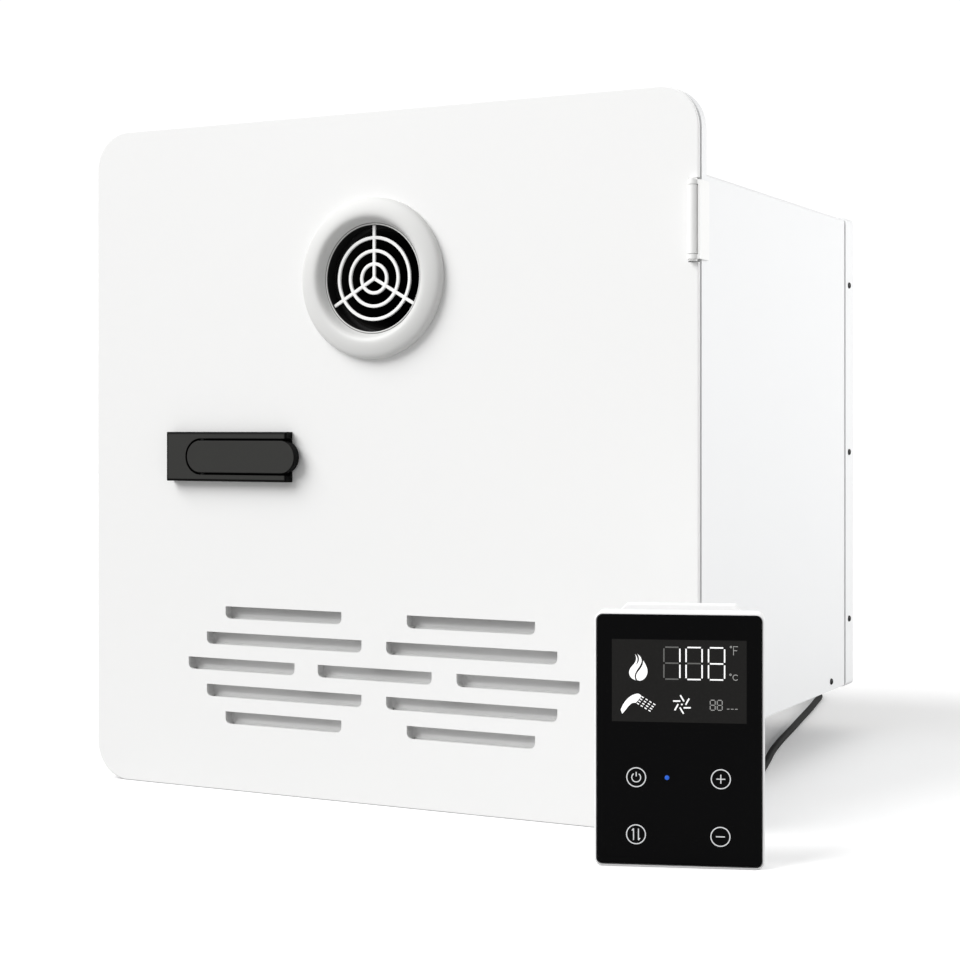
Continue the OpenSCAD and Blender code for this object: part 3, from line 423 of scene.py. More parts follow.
def plasticFinish(name, pale, shade, rough, grainScale=1500, bore=None):
    f = Finish(name)
    broad = f.grain(14, 2)
    skin = f.grain(grainScale, 2, 0.6)
    f.bump(skin, 0.06, 0.35)
    tint = f.blend(broad * 0.7 + skin * 0.3, pale, shade)
    wear = rough - 0.05 + broad * 0.06 + skin * 0.08
    if bore:  # painted shade: near black inside a bore of this height and radius, behind its lip
        height, radius, lip = bore
        x, z = f.along("X"), f.along("Z") - height * mm
        inside = (x * x + z * z) < (radius * mm) ** 2
        depth = f.along("Y") + broad * 0.0004
        paintedBoreShade = inside * f.between(depth, (lip - 0.1) * mm, (lip + 0.5) * mm)
        tint = f.blend(paintedBoreShade, tint, (0.004, 0.004, 0.004))
        wear = wear + paintedBoreShade * 0.35
        f.give(Specular_IOR_Level=0.3)
    return f.give(Base_Color=tint, Roughness=wear)


def latchFinish(name, face, edge, front, shadedBorder=None):  # textured face; smooth edges, with the sides, bevels and a border round the face painted near black as painted shade
    f = Finish(name)
    facing = f.between(f.along("Y") * -1, (-front - 0.25) * mm, (-front - 0.03) * mm)
    # painted shade: a dark border along the face's left end and its top and bottom
    if shadedBorder:
        end, half = shadedBorder
        x, z = f.along("X"), f.along("Z")
        facing = facing * f.between(x, (end - 0.3) * mm, end * mm)
        facing = facing * f.between(z * z, (half * mm) ** 2, ((half - 0.4) * mm) ** 2)
    skin = f.grain(1900, 2, 0.6)
    broad = f.grain(25, 2)
    f.bump(skin, 0.06, 0.35)
    body = f.blend(skin * 0.5 + broad * 0.3, face, [c * 0.78 for c in face])
    f.give(Base_Color=f.blend(facing, edge, body))
    return f.give(Roughness=0.42 + facing * 0.12 + skin * 0.10, Specular_IOR_Level=0.05)


def zincFinish(name, pale, shade):
    f = Finish(name)
    spangle = f.add("SeparateColor", {"Color": f.cells(150, "Color")}, "Red")
    cloud = f.grain(22, 3)
    fine = f.grain(1800, 2, place=f.stretched((0.25, 1, 1)))
    f.bump(spangle * 0.6 + fine * 0.4, 0.04, 0.35)
    f.give(Base_Color=f.blend(spangle * 0.6 + cloud * 0.4, pale, shade))
    return f.give(Metallic=0.9, Roughness=0.30 + spangle * 0.14 + cloud * 0.12)


def steelFinish(name, hot):  # brushed sheet, browned where the flame warms it
    f = Finish(name)
    brush = f.grain(900, 3, 0.6, f.stretched((0.04, 1, 1)))
    cloud = f.grain(18, 3)
    warm = f.between(f.along("Z") + cloud * 0.06, -0.09, 0.12) * hot
    bare = f.blend(brush, (0.56, 0.56, 0.55), (0.70, 0.70, 0.69))
    f.bump(brush, 0.03, 0.30)
    f.give(Base_Color=f.blend(warm, bare, (0.38, 0.30, 0.22)), Metallic=0.95)
    return f.give(Roughness=0.28 + brush * 0.16 + cloud * 0.12)


def warmMetalFinish(name, bright, dull, rough):
    f = Finish(name)
    fine = f.grain(1400, 2)
    stain = f.between(f.grain(38, 4, 0.6), 0.38, 0.72)
    f.bump(fine, 0.04, 0.28)
    f.give(Base_Color=f.blend(stain, bright, dull), Metallic=0.95)
    return f.give(Roughness=rough + stain * 0.20 + fine * 0.06)


def castFinish(name, pale, shade, metal, rough):
    f = Finish(name)
    lump = f.grain(420, 3, 0.6)
    cloud = f.grain(30, 2)
    f.bump(lump, 0.14, 0.45)
    f.give(Base_Color=f.blend(lump * 0.5 + cloud * 0.5, pale, shade), Metallic=metal)
    return f.give(Roughness=rough + lump * 0.18)


def boardFinish(name, lacquer, run, pad):  # lacquer over copper runs, with tinned pads
    f = Finish(name)
    plugs = {
        "Vector": f.place, "Scale": 130, "Mortar Size": 0.035,
        "Color1": (0, 0, 0, 1), "Color2": (0.2, 0.2, 0.2, 1), "Mortar": (1, 1, 1, 1),
    }
    runs = f.add("TexBrick", plugs, "Fac", offset=0.37, squash=0.6, squash_frequency=3)
    pads = f.cells(260, "Distance") < 0.16
    cloud = f.grain(60, 2)
    f.bump(runs * 0.5 + pads * 0.5 + cloud * 0.1, 0.05, 0.4)
    f.give(Base_Color=f.blend(pads, f.blend(runs, lacquer, run), pad), Metallic=pads * 0.9)
    return f.give(Roughness=0.36 - pads * 0.10 + cloud * 0.10)


def rubberFinish(name, tone, rough, gloss):
    f = Finish(name)
    fine = f.grain(2200, 2, 0.6)
    dust = f.between(f.grain(45, 4), 0.52, 0.80)
    f.bump(fine, 0.06, 0.40)
    f.give(Base_Color=f.blend(dust, (tone, tone, tone), (tone * 2.1, tone * 2.1, tone * 2.0)))
    return f.give(Roughness=rough + fine * 0.10 + dust * 0.10, Specular_IOR_Level=gloss)


def sootFinish(name, dark, ash):  # enamel inside the exhaust
    f = Finish(name)
    cloud = f.grain(60, 4)
    f.bump(f.grain(1200, 2), 0.08, 0.4)
    f.give(Base_Color=f.blend(cloud, dark, ash))
    return f.give(Roughness=0.75 + cloud * 0.15, Specular_IOR_Level=0.15)


def glassFinish(name, tone, rough):
    f = Finish(name)
    film = f.grain(30, 3)
    f.bump(film, 0.01, 0.05)
    f.give(Base_Color=f.blend(f.grain(900, 1), tone, [c * 1.25 for c in tone]))
    return f.give(Roughness=rough + film * 0.04, Specular_IOR_Level=0.05)


def glowFinish(name, colour, strength):  # printed or lit marks
    f = Finish(name)
    fine = f.grain(1600, 2)
    tint = f.blend(fine * 0.3, colour, [c * 0.8 for c in colour])
    f.give(Base_Color=tint, Emission_Color=tint, Emission_Strength=strength)
    return f.give(Roughness=0.40 + fine * 0.1)


def floorFinish(name, pale, shade):
    f = Finish(name)
    cloud = f.grain(3, 2)
    f.give(Base_Color=f.blend(cloud, pale, shade))
    f.give(Roughness=0.75 + cloud * 0.05, Specular_IOR_Level=0.1)
    f.give(Emission_Color=(1, 1, 1, 1), Emission_Strength=studio["floorGlow"])
    # the sweep looks white but throws back less light, so undersides keep their shade
    dull = f.add("BsdfDiffuse", {"Color": (*[studio["floorDull"]] * 3, 1)})
    seen = f.add("LightPath", out="Is Camera Ray")
    bright = Signal(f.tree, f.shader.outputs[0])
    both = f.add("MixShader", {0: seen, 1: dull, 2: bright})
    plugIn(f.tree, f.tree.nodes["Material Output"].inputs["Surface"], both)
    return f.material


# face tone, then the near black painted shade of the latch's sides and edges
latchTones = (0.044, 0.044, 0.042), (0.003, 0.003, 0.003)
recipes = {
    # doorWhite's last value: the depth in mm behind which painted shade darkens the door
    "doorWhite": (paintFinish, (0.86, 0.86, 0.855), (0.84, 0.84, 0.835), 0.4, -10.0),
    "caseWhite": (paintFinish, (0.80, 0.805, 0.81), (0.78, 0.785, 0.79)),
    "hingeWhite": (paintFinish, (0.87, 0.87, 0.86), (0.84, 0.84, 0.83), 0.34),
    # ringWhite's last values: height, radius and lip of the bore that is painted near black as
    # painted shade
    "ringWhite": (
        plasticFinish, (0.71, 0.71, 0.70), (0.68, 0.68, 0.67), 0.42, 1500, (98.3, 31, -12.2),
    ),
    "grilleWhite": (plasticFinish, (0.92, 0.92, 0.91), (0.88, 0.88, 0.87), 0.38),
    "shellWhite": (plasticFinish, (0.86, 0.86, 0.86), (0.83, 0.83, 0.83), 0.40),
    # baseGrey's last pair: left end and half height of the painted-shade border
    "baseGrey": (latchFinish, *latchTones, -18.0, (-133.5, 13.0)),
    "leverGrey": (latchFinish, *latchTones, -18.4),
    "zinc": (zincFinish, (0.50, 0.52, 0.54), (0.68, 0.70, 0.71)),
    "pinSteel": (steelFinish, 0),
    "burnerSteel": (steelFinish, 0.55),
    "copper": (warmMetalFinish, (0.80, 0.42, 0.25), (0.42, 0.20, 0.12), 0.24),
    "brass": (warmMetalFinish, (0.82, 0.63, 0.30), (0.55, 0.40, 0.17), 0.22),
    "alloy": (castFinish, (0.62, 0.63, 0.64), (0.48, 0.49, 0.50), 0.9, 0.36),
    "motorBlack": (castFinish, (0.030, 0.031, 0.034), (0.018, 0.018, 0.02), 0.1, 0.45),
    "coilBlue": (plasticFinish, (0.02, 0.05, 0.16), (0.015, 0.035, 0.11), 0.42),
    "ceramic": (plasticFinish, (0.86, 0.84, 0.78), (0.76, 0.73, 0.66), 0.30, 500),
    "board": (boardFinish, (0.012, 0.11, 0.045), (0.03, 0.20, 0.08), (0.62, 0.60, 0.54)),
    "trayGrey": (plasticFinish, (0.040, 0.042, 0.046), (0.03, 0.03, 0.034), 0.5),
    "seal": (rubberFinish, 0.018, 0.62, 0.35),
    "lead": (rubberFinish, 0.005, 0.50, 0.16),
    "gland": (plasticFinish, (0.016, 0.016, 0.017), (0.011, 0.011, 0.011), 0.42),
    "screwBlack": (castFinish, (0.018, 0.018, 0.019), (0.03, 0.03, 0.03), 0.5, 0.35),
    "soot": (sootFinish, (0.006, 0.006, 0.006), (0.016, 0.015, 0.014)),
    "panelGlass": (glassFinish, (0.0028, 0.0028, 0.003), 0.06),
    "windowGrey": (glassFinish, (0.0165, 0.016, 0.0155), 0.10),
    "litMark": (glowFinish, (0.86, 0.86, 0.86), 0.55),
    "dimMark": (glowFinish, (0.13, 0.13, 0.125), 0.10),
    "faintMark": (glowFinish, (0.34, 0.34, 0.33), 0.22),
    "keyMark": (glowFinish, (0.62, 0.63, 0.64), 0.28),
    "ledBlue": (glowFinish, (0.01, 0.09, 0.50), 0.5),
    "floorPale": (floorFinish, (0.95, 0.95, 0.95), (0.965, 0.965, 0.965)),
}
finishes = {name: mix(name, *values) for name, (mix, *values) in recipes.items()}
print("finishes mixed,", len(finishes))


def layFloor():
    dropAll()
    bpy.ops.mesh.primitive_grid_add(
        x_subdivisions=8, y_subdivisions=8, size=studio["floorSize"],
        location=(0, 0, floorHeight * mm),
    )
    ground = settle("studioFloor")
    ground.data.materials.append(finishes["floorPale"])


setUpStudio()
layFloor()
print("studio set up")


# the controller's lead: heater gland, coil behind the heater, then along the floor

leadRun = {
    "diameter": 4.5,
    "glandEnd": (-10, 380, -135),
    "coilInner": 20,
    "coilPitch": 5,
    "coilTurns": 5.0625,
    "coilMiddle": (35.3125, 470, -186.95),
    "turnPoints": 40,
    "smooth": 6,
    "restHeight": -188.15,
    "floorRun": [
        (186, 72), (173, 120), (160, 169), (151, 206), (142, 242), (133, 286),
        (125, 330), (116, 378), (107, 426), (99, 466), (93, 492),
    ],
    "controllerEnd": (196.106, -47.563, -176.5),
    "controllerTurn": 18.9,
}


def throughPoints(points, smooth):
    drawn = []
    for k in range(1, len(points) - 2):
        a, b, c, d = points[k - 1 : k + 3]
        for step in range(smooth):
            t = step / smooth
            drawn.append(
                0.5 * (2 * b + (c - a) * t + (2 * a - 5 * b + 4 * c - d) * t * t
                       + (3 * b - a - 3 * c + d) * t * t * t)
            )
    return drawn + [points[-2]]


def leadPoints():
    r = leadRun
    gland = Vector(r["glandEnd"])
    middle = Vector(r["coilMiddle"])
    leg, pitch, inner = r["coilTurns"], r["coilPitch"], r["coilInner"]
    outer = inner + leg * pitch
    coilIn = middle + Vector((0, outer, 0))
    coilOut = middle + Vector((-outer, 0, 3 * pitch))
    down = [
        gland - Vector((0, 12, 0)), gland, gland + Vector((0, 14, -1)),
        gland + Vector((0, 30, -9)),
        Vector((gland.x, gland.y + 45, (gland.z + coilOut.z) / 2 - 4)),
        Vector((gland.x, gland.y + 61, coilOut.z + 6)),
        Vector((gland.x, gland.y + 75, coilOut.z + 0.6)),
        coilOut - Vector((0, r["diameter"], 0)), coilOut + Vector((0, 10, 0)),
    ]
    # four layers, wound in and out by turns
    coil = []
    count = round(4 * leg * r["turnPoints"])
    for k in range(count + 1):
        t = 4 * leg * k / count
        radius = inner + pitch * abs(t % (2 * leg) - leg)
        rise = sum(min(1, max(0, 2 * (t - n * leg) + 0.5)) for n in (1, 2, 3))
        angle = math.radians(90 + 360 * t)
        coil.append(
            middle + Vector((radius * math.cos(angle), radius * math.sin(angle), pitch * rise))
        )
    turn = math.radians(r["controllerTurn"])
    away = Vector((-math.sin(turn), math.cos(turn), 0))
    plug = Vector(r["controllerEnd"])
    z = r["restHeight"]
    across = [
        plug - 12 * away, plug, plug + Vector((-2, 14, -3)), Vector((196.5, -20, z + 3.65)),
        Vector((199.5, 2, z + 0.6)), Vector((195.5, 32, z)),
        *[Vector((x, y, z)) for x, y in r["floorRun"]],
        Vector((82, 512, z + 0.4)), Vector((63, coilIn.y + 3, z + 0.8)),
        coilIn + Vector((r["diameter"], 0, 0)), coilIn - Vector((10, 0, 0)),
    ]
    return (
        throughPoints(down, r["smooth"]) + coil[::-1] + throughPoints(across, r["smooth"])[::-1]
    )


def makeLead():
    spots = [p * mm for p in leadPoints()]
    curve = bpy.data.curves.new("controllerLead", "CURVE")
    curve.dimensions = "3D"
    run = curve.splines.new("POLY")
    run.points.add(len(spots) - 1)
    for point, spot in zip(run.points, spots):
        point.co = (*spot, 1)
    curve.bevel_depth = leadRun["diameter"] / 2 * mm
    curve.bevel_resolution = 4
    curve.use_fill_caps = True
    lead = bpy.data.objects.new("controllerLead", curve)
    bpy.context.scene.collection.objects.link(lead)
    dress(
        lead, "lead", "heater", "cable_black",
        "lead_heater_end", "lead_coil", "lead_controller_end",
    )
    length = sum((b - a).length for a, b in zip(spots, spots[1:]))
    print("lead laid, metres:", round(length, 3))


makeLead()


# door skin with its pressed louvres

doorSkin = {
    "half": 190.5,
    "cornerRadius": 22,
    "front": -11.0,
    "back": -8.0,
    "sheet": 1.2,
    "setBack": 1.1,
    "softEdge": 0.8,
    "slotEnd": 1.6,
    "slotRise": 0.25,
    "louvres": [
        # places across, rows, length
        ((-59.7, 59.7), (0, 4), 77.7),
        ((-59.7, 59.7), (1, 3), 103.7),
        ((-88, 0, 88), (2,), 72.7),
    ],
    "louvreHeight": 7.0,
    "louvrePitch": 15.0,
    "louvreTop": -85.5,
    "louvreDepth": 7.0,
    "lowCorner": 3.2,
    "cove": 2.4,
    "exhaustHeight": 98.3,
    "exhaustHole": 33.0,
    "latchHole": (-122.4, -98.4, 10.1),
    "hingeHeight": 121.3,
    "hingeNotch": (184.9, 21.4),
}


def louvrePlaces():  # middle, top and half length of each louvre
    d = doorSkin
    return [
        (x, d["louvreTop"] - row * d["louvrePitch"], length / 2)
        for across, rows, length in d["louvres"] for row in rows for x in across
    ]


def louvreTools(name, grow, top, front, back):
    d = doorSkin
    tools = []
    for x, high, half in louvrePlaces():
        low = high - d["louvreHeight"] - grow
        half += grow
        tool = addBlock(name, (x - half, front, low), (x + half, back, high + top))
        roundEdges(
            tool, lambda a, b: alongY(a, b) and a.z < low + 0.1, d["lowCorner"] + grow, 6
        )
        roundEdges(
            tool,
            lambda a, b: min(a.y, b.y) > back - nearby and max(a.z, b.z) < high - 1,
            d["cove"] + grow, 5,
        )
        tools.append(tool)
    return joinAs(name, tools)


def louvreSlots():  # the narrow gap under each louvre
    d = doorSkin
    tools = []
    for x, high, half in louvrePlaces():
        low = high - d["louvreHeight"]
        half -= d["slotEnd"]
        tools.append(
            addBlock(
                "slot", (x - half, d["front"] + d["sheet"] + 0.1, low - 3),
                (x + half, d["front"] + d["louvreDepth"] - d["slotEnd"], low + d["slotRise"]),
            )
        )
    return joinAs("slots", tools)


def makeDoorSkin():
    d = doorSkin
    h, front, back, inside = d["half"], d["front"], d["back"], d["front"] + d["sheet"]
    skin = addBlock("doorSkin", (-h, front, -h), (h, inside, h))
    roundEdges(skin, alongY, d["cornerRadius"], 16)
    roundEdges(skin, inFront(front), d["softEdge"], 4)
    inner = h - d["setBack"]
    fold = addBlock("fold", (-inner, front + d["sheet"] / 2, -inner), (inner, back, inner))
    roundEdges(fold, alongY, d["cornerRadius"] - d["setBack"], 16)
    carve(skin, fold, "UNION")
    sink(
        skin, lambda middle, normal: normal.y > 0.9 and middle.y > back - 0.1, d["sheet"],
        (0, inside - back, 0),
    )
    scoopBack = front + d["louvreDepth"]
    carve(skin, louvreTools("scoops", 1, -0.05, inside - 0.4, scoopBack + 1), "UNION")
    carve(skin, louvreTools("pockets", 0, 0, front - 1, scoopBack))
    carve(skin, louvreSlots())
    middle = (0, front - 1, d["exhaustHeight"])
    carve(skin, addRod("exhaustCut", d["exhaustHole"], middle, 5, sides=96))
    x0, x1, half = d["latchHole"]
    carve(skin, addBlock("latchCut", (x0, front - 1, -half), (x1, inside + 1, half)))
    x0, half = d["hingeNotch"]
    for side in (-1, 1):
        z = side * d["hingeHeight"]
        carve(skin, addBlock("hingeCut", (x0, front - 1, z - half), (h + 5, 0, z + half)))
    softShade(skin, 0.25)
    dress(skin, "doorWhite", "door", "white_paint", "door_panel")


makeDoorSkin()
print("door skin pressed")


# exhaust ring and grille

exhaust = {
    "height": 98.3,
    "door": -11.0,
    "collar": 32.8,
    "collarBack": -4.0,
    "hole": 29.3,
    "outerWall": [(44.05, -11.0), (44.3, -11.3), (44.3, -13.6)],
    "dome": [
        (44.22, -14.25), (44.0, -14.9), (43.6, -15.5), (43.05, -16.0), (42.3, -16.45),
        (41.4, -16.83), (40.4, -17.17), (39.3, -17.48), (38.2, -17.72), (37.2, -17.89),
        (36.3, -17.98), (35.5, -18.0), (34.8, -17.95), (34.1, -17.78), (33.5, -17.48),
        (32.95, -17.0), (32.4, -16.32), (31.93, -15.52), (31.52, -14.66), (31.17, -13.8),
        (30.86, -12.98), (30.58, -12.4), (30.35, -12.1),
    ],
    "lip": [(30.2, -12.1), (30.0, -12.42), (29.75, -12.55), (29.5, -12.45), (29.3, -12.1)],
    "ringSteps": 112,
    "grilleRings": (22.4, 15.2, 7.95),
    "barWidth": 1.85,
    "barFront": -11.0,
    "barBack": -9.6,
    "barSoft": 0.35,
    "barSteps": 80,
    "hub": 1.35,
    "spokeReach": 29.2,
    "spokeSink": 0.08,
    "spokeAngles": (90, 210, 330),
}


def makeExhaustRing():
    e = exhaust
    corner = (e["collar"], e["door"])
    profile = [corner, *e["outerWall"], *e["dome"], *e["lip"]]
    profile += [(e["hole"], e["collarBack"]), (e["collar"], e["collarBack"]), corner]
    ring = lathe("exhaustRing", profile, (0, 0, e["height"]), steps=e["ringSteps"])
    softShade(ring, sharp=50)
    dress(ring, "ringWhite", "door", "ring_plastic", "exhaust_ring")


def barProfile(radius):
    e = exhaust
    w, s = e["barWidth"] / 2, e["barSoft"]
    profile = []
    for cx, cy, start in (
        (radius + w - s, e["barFront"] + s, -90), (radius + w - s, e["barBack"] - s, 0),
        (radius - w + s, e["barBack"] - s, 90), (radius - w + s, e["barFront"] + s, 180),
    ):
        profile += arc(cx, cy, s, start, start + 90, 4)
    return profile + profile[:1]


def makeGrille():
    e = exhaust
    middle = Vector((0, 0, e["height"]))
    front, back, w = e["barFront"], e["barBack"], e["barWidth"] / 2
    bars = [lathe("bar", barProfile(r), middle, steps=e["barSteps"]) for r in e["grilleRings"]]
    spoke = addBlock(
        "spoke", (-0.75 * w, front + e["spokeSink"], -w),
        (e["spokeReach"], back - e["spokeSink"], w),
    )
    roundEdges(spoke, lambda a, b: abs(a.x - b.x) > 1, e["barSoft"], 4)
    for angle in e["spokeAngles"]:
        turn = Matrix.Rotation(-math.radians(angle), 4, "Y")
        bars.append(copyTo(spoke, Matrix.Translation(middle * mm) @ turn))
    bpy.data.objects.remove(spoke)
    hub = e["hub"]
    profile = [(0, front), (hub - 0.35, front), (hub, front + 0.3), (hub, back), (0, back)]
    bars.append(lathe("hub", profile, middle, steps=32))
    grille = joinAs("exhaustGrille", bars)
    softShade(grille, sharp=60)
    dress(grille, "grilleWhite", "door", "ring_plastic", "exhaust_grille")


makeExhaustRing()
makeGrille()
print("exhaust ring and grille turned")


# latch base and its pull lever

latch = {
    "baseX": (-135.3, -53.0),
    "baseHalf": 14.1,
    "baseFront": -18.0,
    "door": -11.0,
    "baseSoft": 1.5,
    "leverX": (-120.4, -47.1),
    "leverHalf": 9.3,
    "leverFront": -18.4,
    "leverBack": -13.4,
    "leverSoft": 0.7,
    "gap": 1.1,
    "wellBack": -12.6,
    "throughHole": (-122.4, -98.4, 9.2),
    "pivot": (-111.4, -14.8),
    "barrel": 3.2,
    "barrelShort": 0.4,
    "bore": 1.55,
}


def pillBlock(name, x0, x1, half, front, back):
    pill = addBlock(name, (x0, front, -half), (x1, back, half))
    roundEdges(pill, alongY, half * 0.999, 18)
    return pill


def makeLatchBase():
    k = latch
    (x0, x1), half, front, door = k["baseX"], k["baseHalf"], k["baseFront"], k["door"]
    base = addBlock("latchBase", (x0, front, -half), (x1, door, half))
    roundEdges(base, inFront(front), k["baseSoft"], 4)
    x0, x1 = k["leverX"]
    well = (x0 - k["gap"], x1 + 20, k["leverHalf"] + k["gap"], front - 1, k["wellBack"])
    carve(base, pillBlock("well", *well))
    x0, x1, half = k["throughHole"]
    carve(base, addBlock("through", (x0, door - 3, -half), (x1, door + 1, half)))
    softShade(base, 0.25)
    dress(base, "baseGrey", "door", "latch_plastic", "latch_base")


def makeLatchLever():
    k = latch
    lever = pillBlock("latchLever", *k["leverX"], k["leverHalf"], k["leverFront"], k["leverBack"])
    roundEdges(lever, inFront(k["leverFront"]), k["leverSoft"], 4)
    px, py = k["pivot"]
    half = k["leverHalf"] - k["barrelShort"]
    carve(lever, addRod("barrel", k["barrel"], (px, py, -half), 2 * half, "z"), "UNION")
    carve(lever, addRod("bore", k["bore"], (px, py, -20), 40, "z", 24))
    softShade(lever)
    dress(lever, "leverGrey", "latch", "latch_plastic", "latch_lever")


makeLatchBase()
makeLatchLever()
print("latch moulded")


# cross head screws round the rear cover and along the base

caseScrews = {
    "pitch": 113.4,
    "line": 350.0,
    "coverFace": 159.0,
    "sideFace": 158.0,
    "baseHeight": -152.0,
    "baseAt": (47.0, 313.0),
    "head": 2.1,
    "tall": 1.3,
    "crown": 1.1,
    "shank": 1.5,
    "point": [(0, -4.6), (1.5, -4.2)],
    "cross": (1.2, 0.24, 0.7),
    "crossTurn": 20,
}


def makeCaseScrews():
    c = caseScrews
    head, tall, crown = c["head"], c["tall"], c["crown"]
    profile = [*c["point"], (c["shank"], 0), (head - 0.1, 0), (head, 0.12)]
    profile += arc(head - crown, tall - crown - 0.1, crown, 5, 80, 5) + [(0, tall)]
    screw = lathe("screw", profile, (0, 0, 0), "z", 24)
    long, wide, deep = c["cross"]
    for turn in (0, 90):
        tool = addBlock("cross", (-long, -wide, tall - deep), (long, wide, tall + 1))
        carve(screw, putAt(tool, Matrix.Rotation(math.radians(turn + c["crossTurn"]), 4, "Z")))
    softShade(screw, sharp=40)
    spots = []
    face, line = c["coverFace"], c["line"]
    for at in (-c["pitch"], 0, c["pitch"]):
        spots += [((s * face, line, at), (s, 0, 0)) for s in (1, -1)]
        spots += [((at, line, s * face), (0, 0, s)) for s in (1, -1)]
    for y in c["baseAt"]:
        spots += [((s * c["sideFace"], y, c["baseHeight"]), (s, 0, 0)) for s in (-1, 1)]
    row = []
    for spot, way in spots:
        turn = Vector((0, 0, 1)).rotation_difference(Vector(way)).to_matrix().to_4x4()
        row.append(copyTo(screw, Matrix.Translation(Vector(spot) * mm) @ turn))
    bpy.data.objects.remove(screw)
    screws = joinAs("caseScrews", row)
    dress(screws, "screwBlack", "heater", "black_screws", "casing_screws")


makeCaseScrews()
print("screws driven")


# controller: shell, glass, display window and marks, drawn upright and then seated

controller = {
    "place": (205.5, -75.0, floorHeight),
    "turn": 18.9,
    "half": 40.0,
    "tall": 120.0,
    "deep": 16.0,
    "corner": 4.0,
    "bezel": 1.2,
    "frontSoft": 0.6,
    "backSoft": 1.6,
    "glass": 2.0,
    "glassGap": 0.1,
    "glassSoft": 0.35,
    "wall": 1.6,
    "backWall": 2,
    "groove": (10.4, 10.9),
    "grooveDepth": 0.35,
    "window": (31.6, 68.4, 107.2),
    "windowRise": 0.02,
    "markRise": 0.05,
    "markThick": 0.08,
    "keyRing": 4.45,
    "keyLine": 2.1,
    "keyWeight": 0.5,
    "keys": {
        "power": (-20.1, 42.2), "plus": (19.6, 42.2),
        "arrows": (-20.2, 15.3), "minus": (19.4, 15.2),
    },
    "led": (-5.6, 42.3, 1.2),
    "relief": 14.0,
    "reliefBase": [(0, 0), (6.5, 0), (6.5, 1.6), (6.1, 2.0), (4.7, 2.1)],
    "reliefEnd": [(3.4, 12.4), (3.0, 13), (0, 13)],
}


def seat(piece, finish, slotName, *stoodFor):  # puts it at the controller's place
    c = controller
    turn = Matrix.Rotation(math.radians(c["turn"]), 4, "Z")
    putAt(piece, Matrix.Translation(Vector(c["place"]) * mm) @ turn)
    dress(piece, finish, "heater", slotName, *stoodFor)


def makeControllerShell():
    c = controller
    half, tall, deep = c["half"], c["tall"], c["deep"]
    shell = addBlock("controllerShell", (-half, 0, 0), (half, deep, tall))
    roundEdges(shell, alongY, c["corner"], 8)
    roundEdges(shell, inFront(0), c["frontSoft"], 3)
    roundEdges(shell, lambda a, b: min(a.y, b.y) > deep - nearby, c["backSoft"], 4)
    # pocket for the glass, and the hollow behind it
    sink(shell, lambda m, n: n.y < -0.9, c["bezel"] - c["frontSoft"], (0, c["glass"], 0))
    hollow = (0, deep - c["glass"] - c["backWall"], 0)
    sink(shell, lambda m, n: n.y < -0.9 and m.y > 1, c["wall"], hollow)
    # parting groove round the shell
    low, high = c["groove"]
    for y in (low, high):
        openEdit(shell, "FACE", "SELECT")
        bpy.ops.mesh.bisect(plane_co=(0, y * mm, 0), plane_no=(0, 1, 0))
        closeEdit()

    def onGroove(middle, normal):
        outside = abs(middle.x) > half - 1.5 or not 1.5 < middle.z < tall - 1.5
        return low < middle.y < high and abs(normal.y) < 0.1 and outside

    pickFaces(shell, onGroove)
    bpy.ops.mesh.extrude_region_shrink_fatten(
        TRANSFORM_OT_shrink_fatten={"value": -c["grooveDepth"] * mm}
    )
    closeEdit()
    seat(softShade(shell), "shellWhite", "shell_white", "controller_shell")


def makeControllerGlass():
    c = controller
    edge = c["bezel"] + c["glassGap"]
    half = c["half"] - edge
    glass = addBlock("controllerGlass", (-half, 0, edge), (half, c["glass"], c["tall"] - edge))
    roundEdges(glass, alongY, c["corner"] - edge, 8)
    roundEdges(glass, inFront(0), c["glassSoft"], 3)
    seat(softShade(glass), "panelGlass", "panel_glass", "controller_glass")
    half, low, high = c["window"]
    window = addBlock("displayWindow", (-half, -c["windowRise"], low), (half, 0.3, high))
    seat(softShade(window), "windowGrey", "lcd_grey")


def standUp(piece, flat):  # from a drawing on the XY plane to a thin mark on the glass
    hold(piece)
    bpy.ops.object.convert(target="MESH")
    piece = bpy.context.object
    piece.scale = (1, 1, flat)
    bpy.ops.object.transform_apply(location=False, rotation=False, scale=True)
    rise = Matrix.Translation((0, -controller["markRise"] * mm, 0))
    return putAt(piece, rise @ Matrix.Rotation(math.pi / 2, 4, "X"))


def newDrawing(name):
    dropAll()
    bpy.ops.curve.primitive_bezier_curve_add()
    drawing = bpy.context.object
    drawing.name = drawing.data.name = name
    drawing.data.splines.clear()
    return drawing


def strokeMark(name, lines, weight):
    drawing = newDrawing(name)
    for line in lines:
        closed = len(line) > 2 and line[0] == line[-1]
        spots = line[:-1] if closed else line
        run = drawing.data.splines.new("POLY")
        run.points.add(len(spots) - 1)
        for point, (x, z) in zip(run.points, spots):
            point.co = (x * mm, z * mm, 0, 1)
        run.use_cyclic_u = closed
    drawing.data.bevel_depth = weight / 2 * mm
    drawing.data.bevel_resolution = 2
    drawing.data.use_fill_caps = True
    return softShade(standUp(drawing, controller["markThick"] / weight), sharp=60)


def fillMark(name, spot, *outlines):  # each outline has its points and which of them are sharp
    drawing = newDrawing(name)
    drawing.data.dimensions = "2D"
    drawing.data.fill_mode = "BOTH"
    drawing.data.extrude = controller["markThick"] / 2 * mm
    for outline, tips in outlines:
        run = drawing.data.splines.new("BEZIER")
        run.bezier_points.add(len(outline) - 1)
        for k, (x, z) in enumerate(outline):
            point = run.bezier_points[k]
            point.co = ((spot[0] + x) * mm, (spot[1] + z) * mm, 0)
            point.handle_left_type = point.handle_right_type = "VECTOR" if k in tips else "AUTO"
        run.use_cyclic_u = True
    return standUp(drawing, 1)


def ringLine(x, z, radius, start=0, stop=360, count=48):
    line = arc(x, z, radius, start, stop, count)
    if stop - start == 360:
        line[-1] = line[0]
    return line


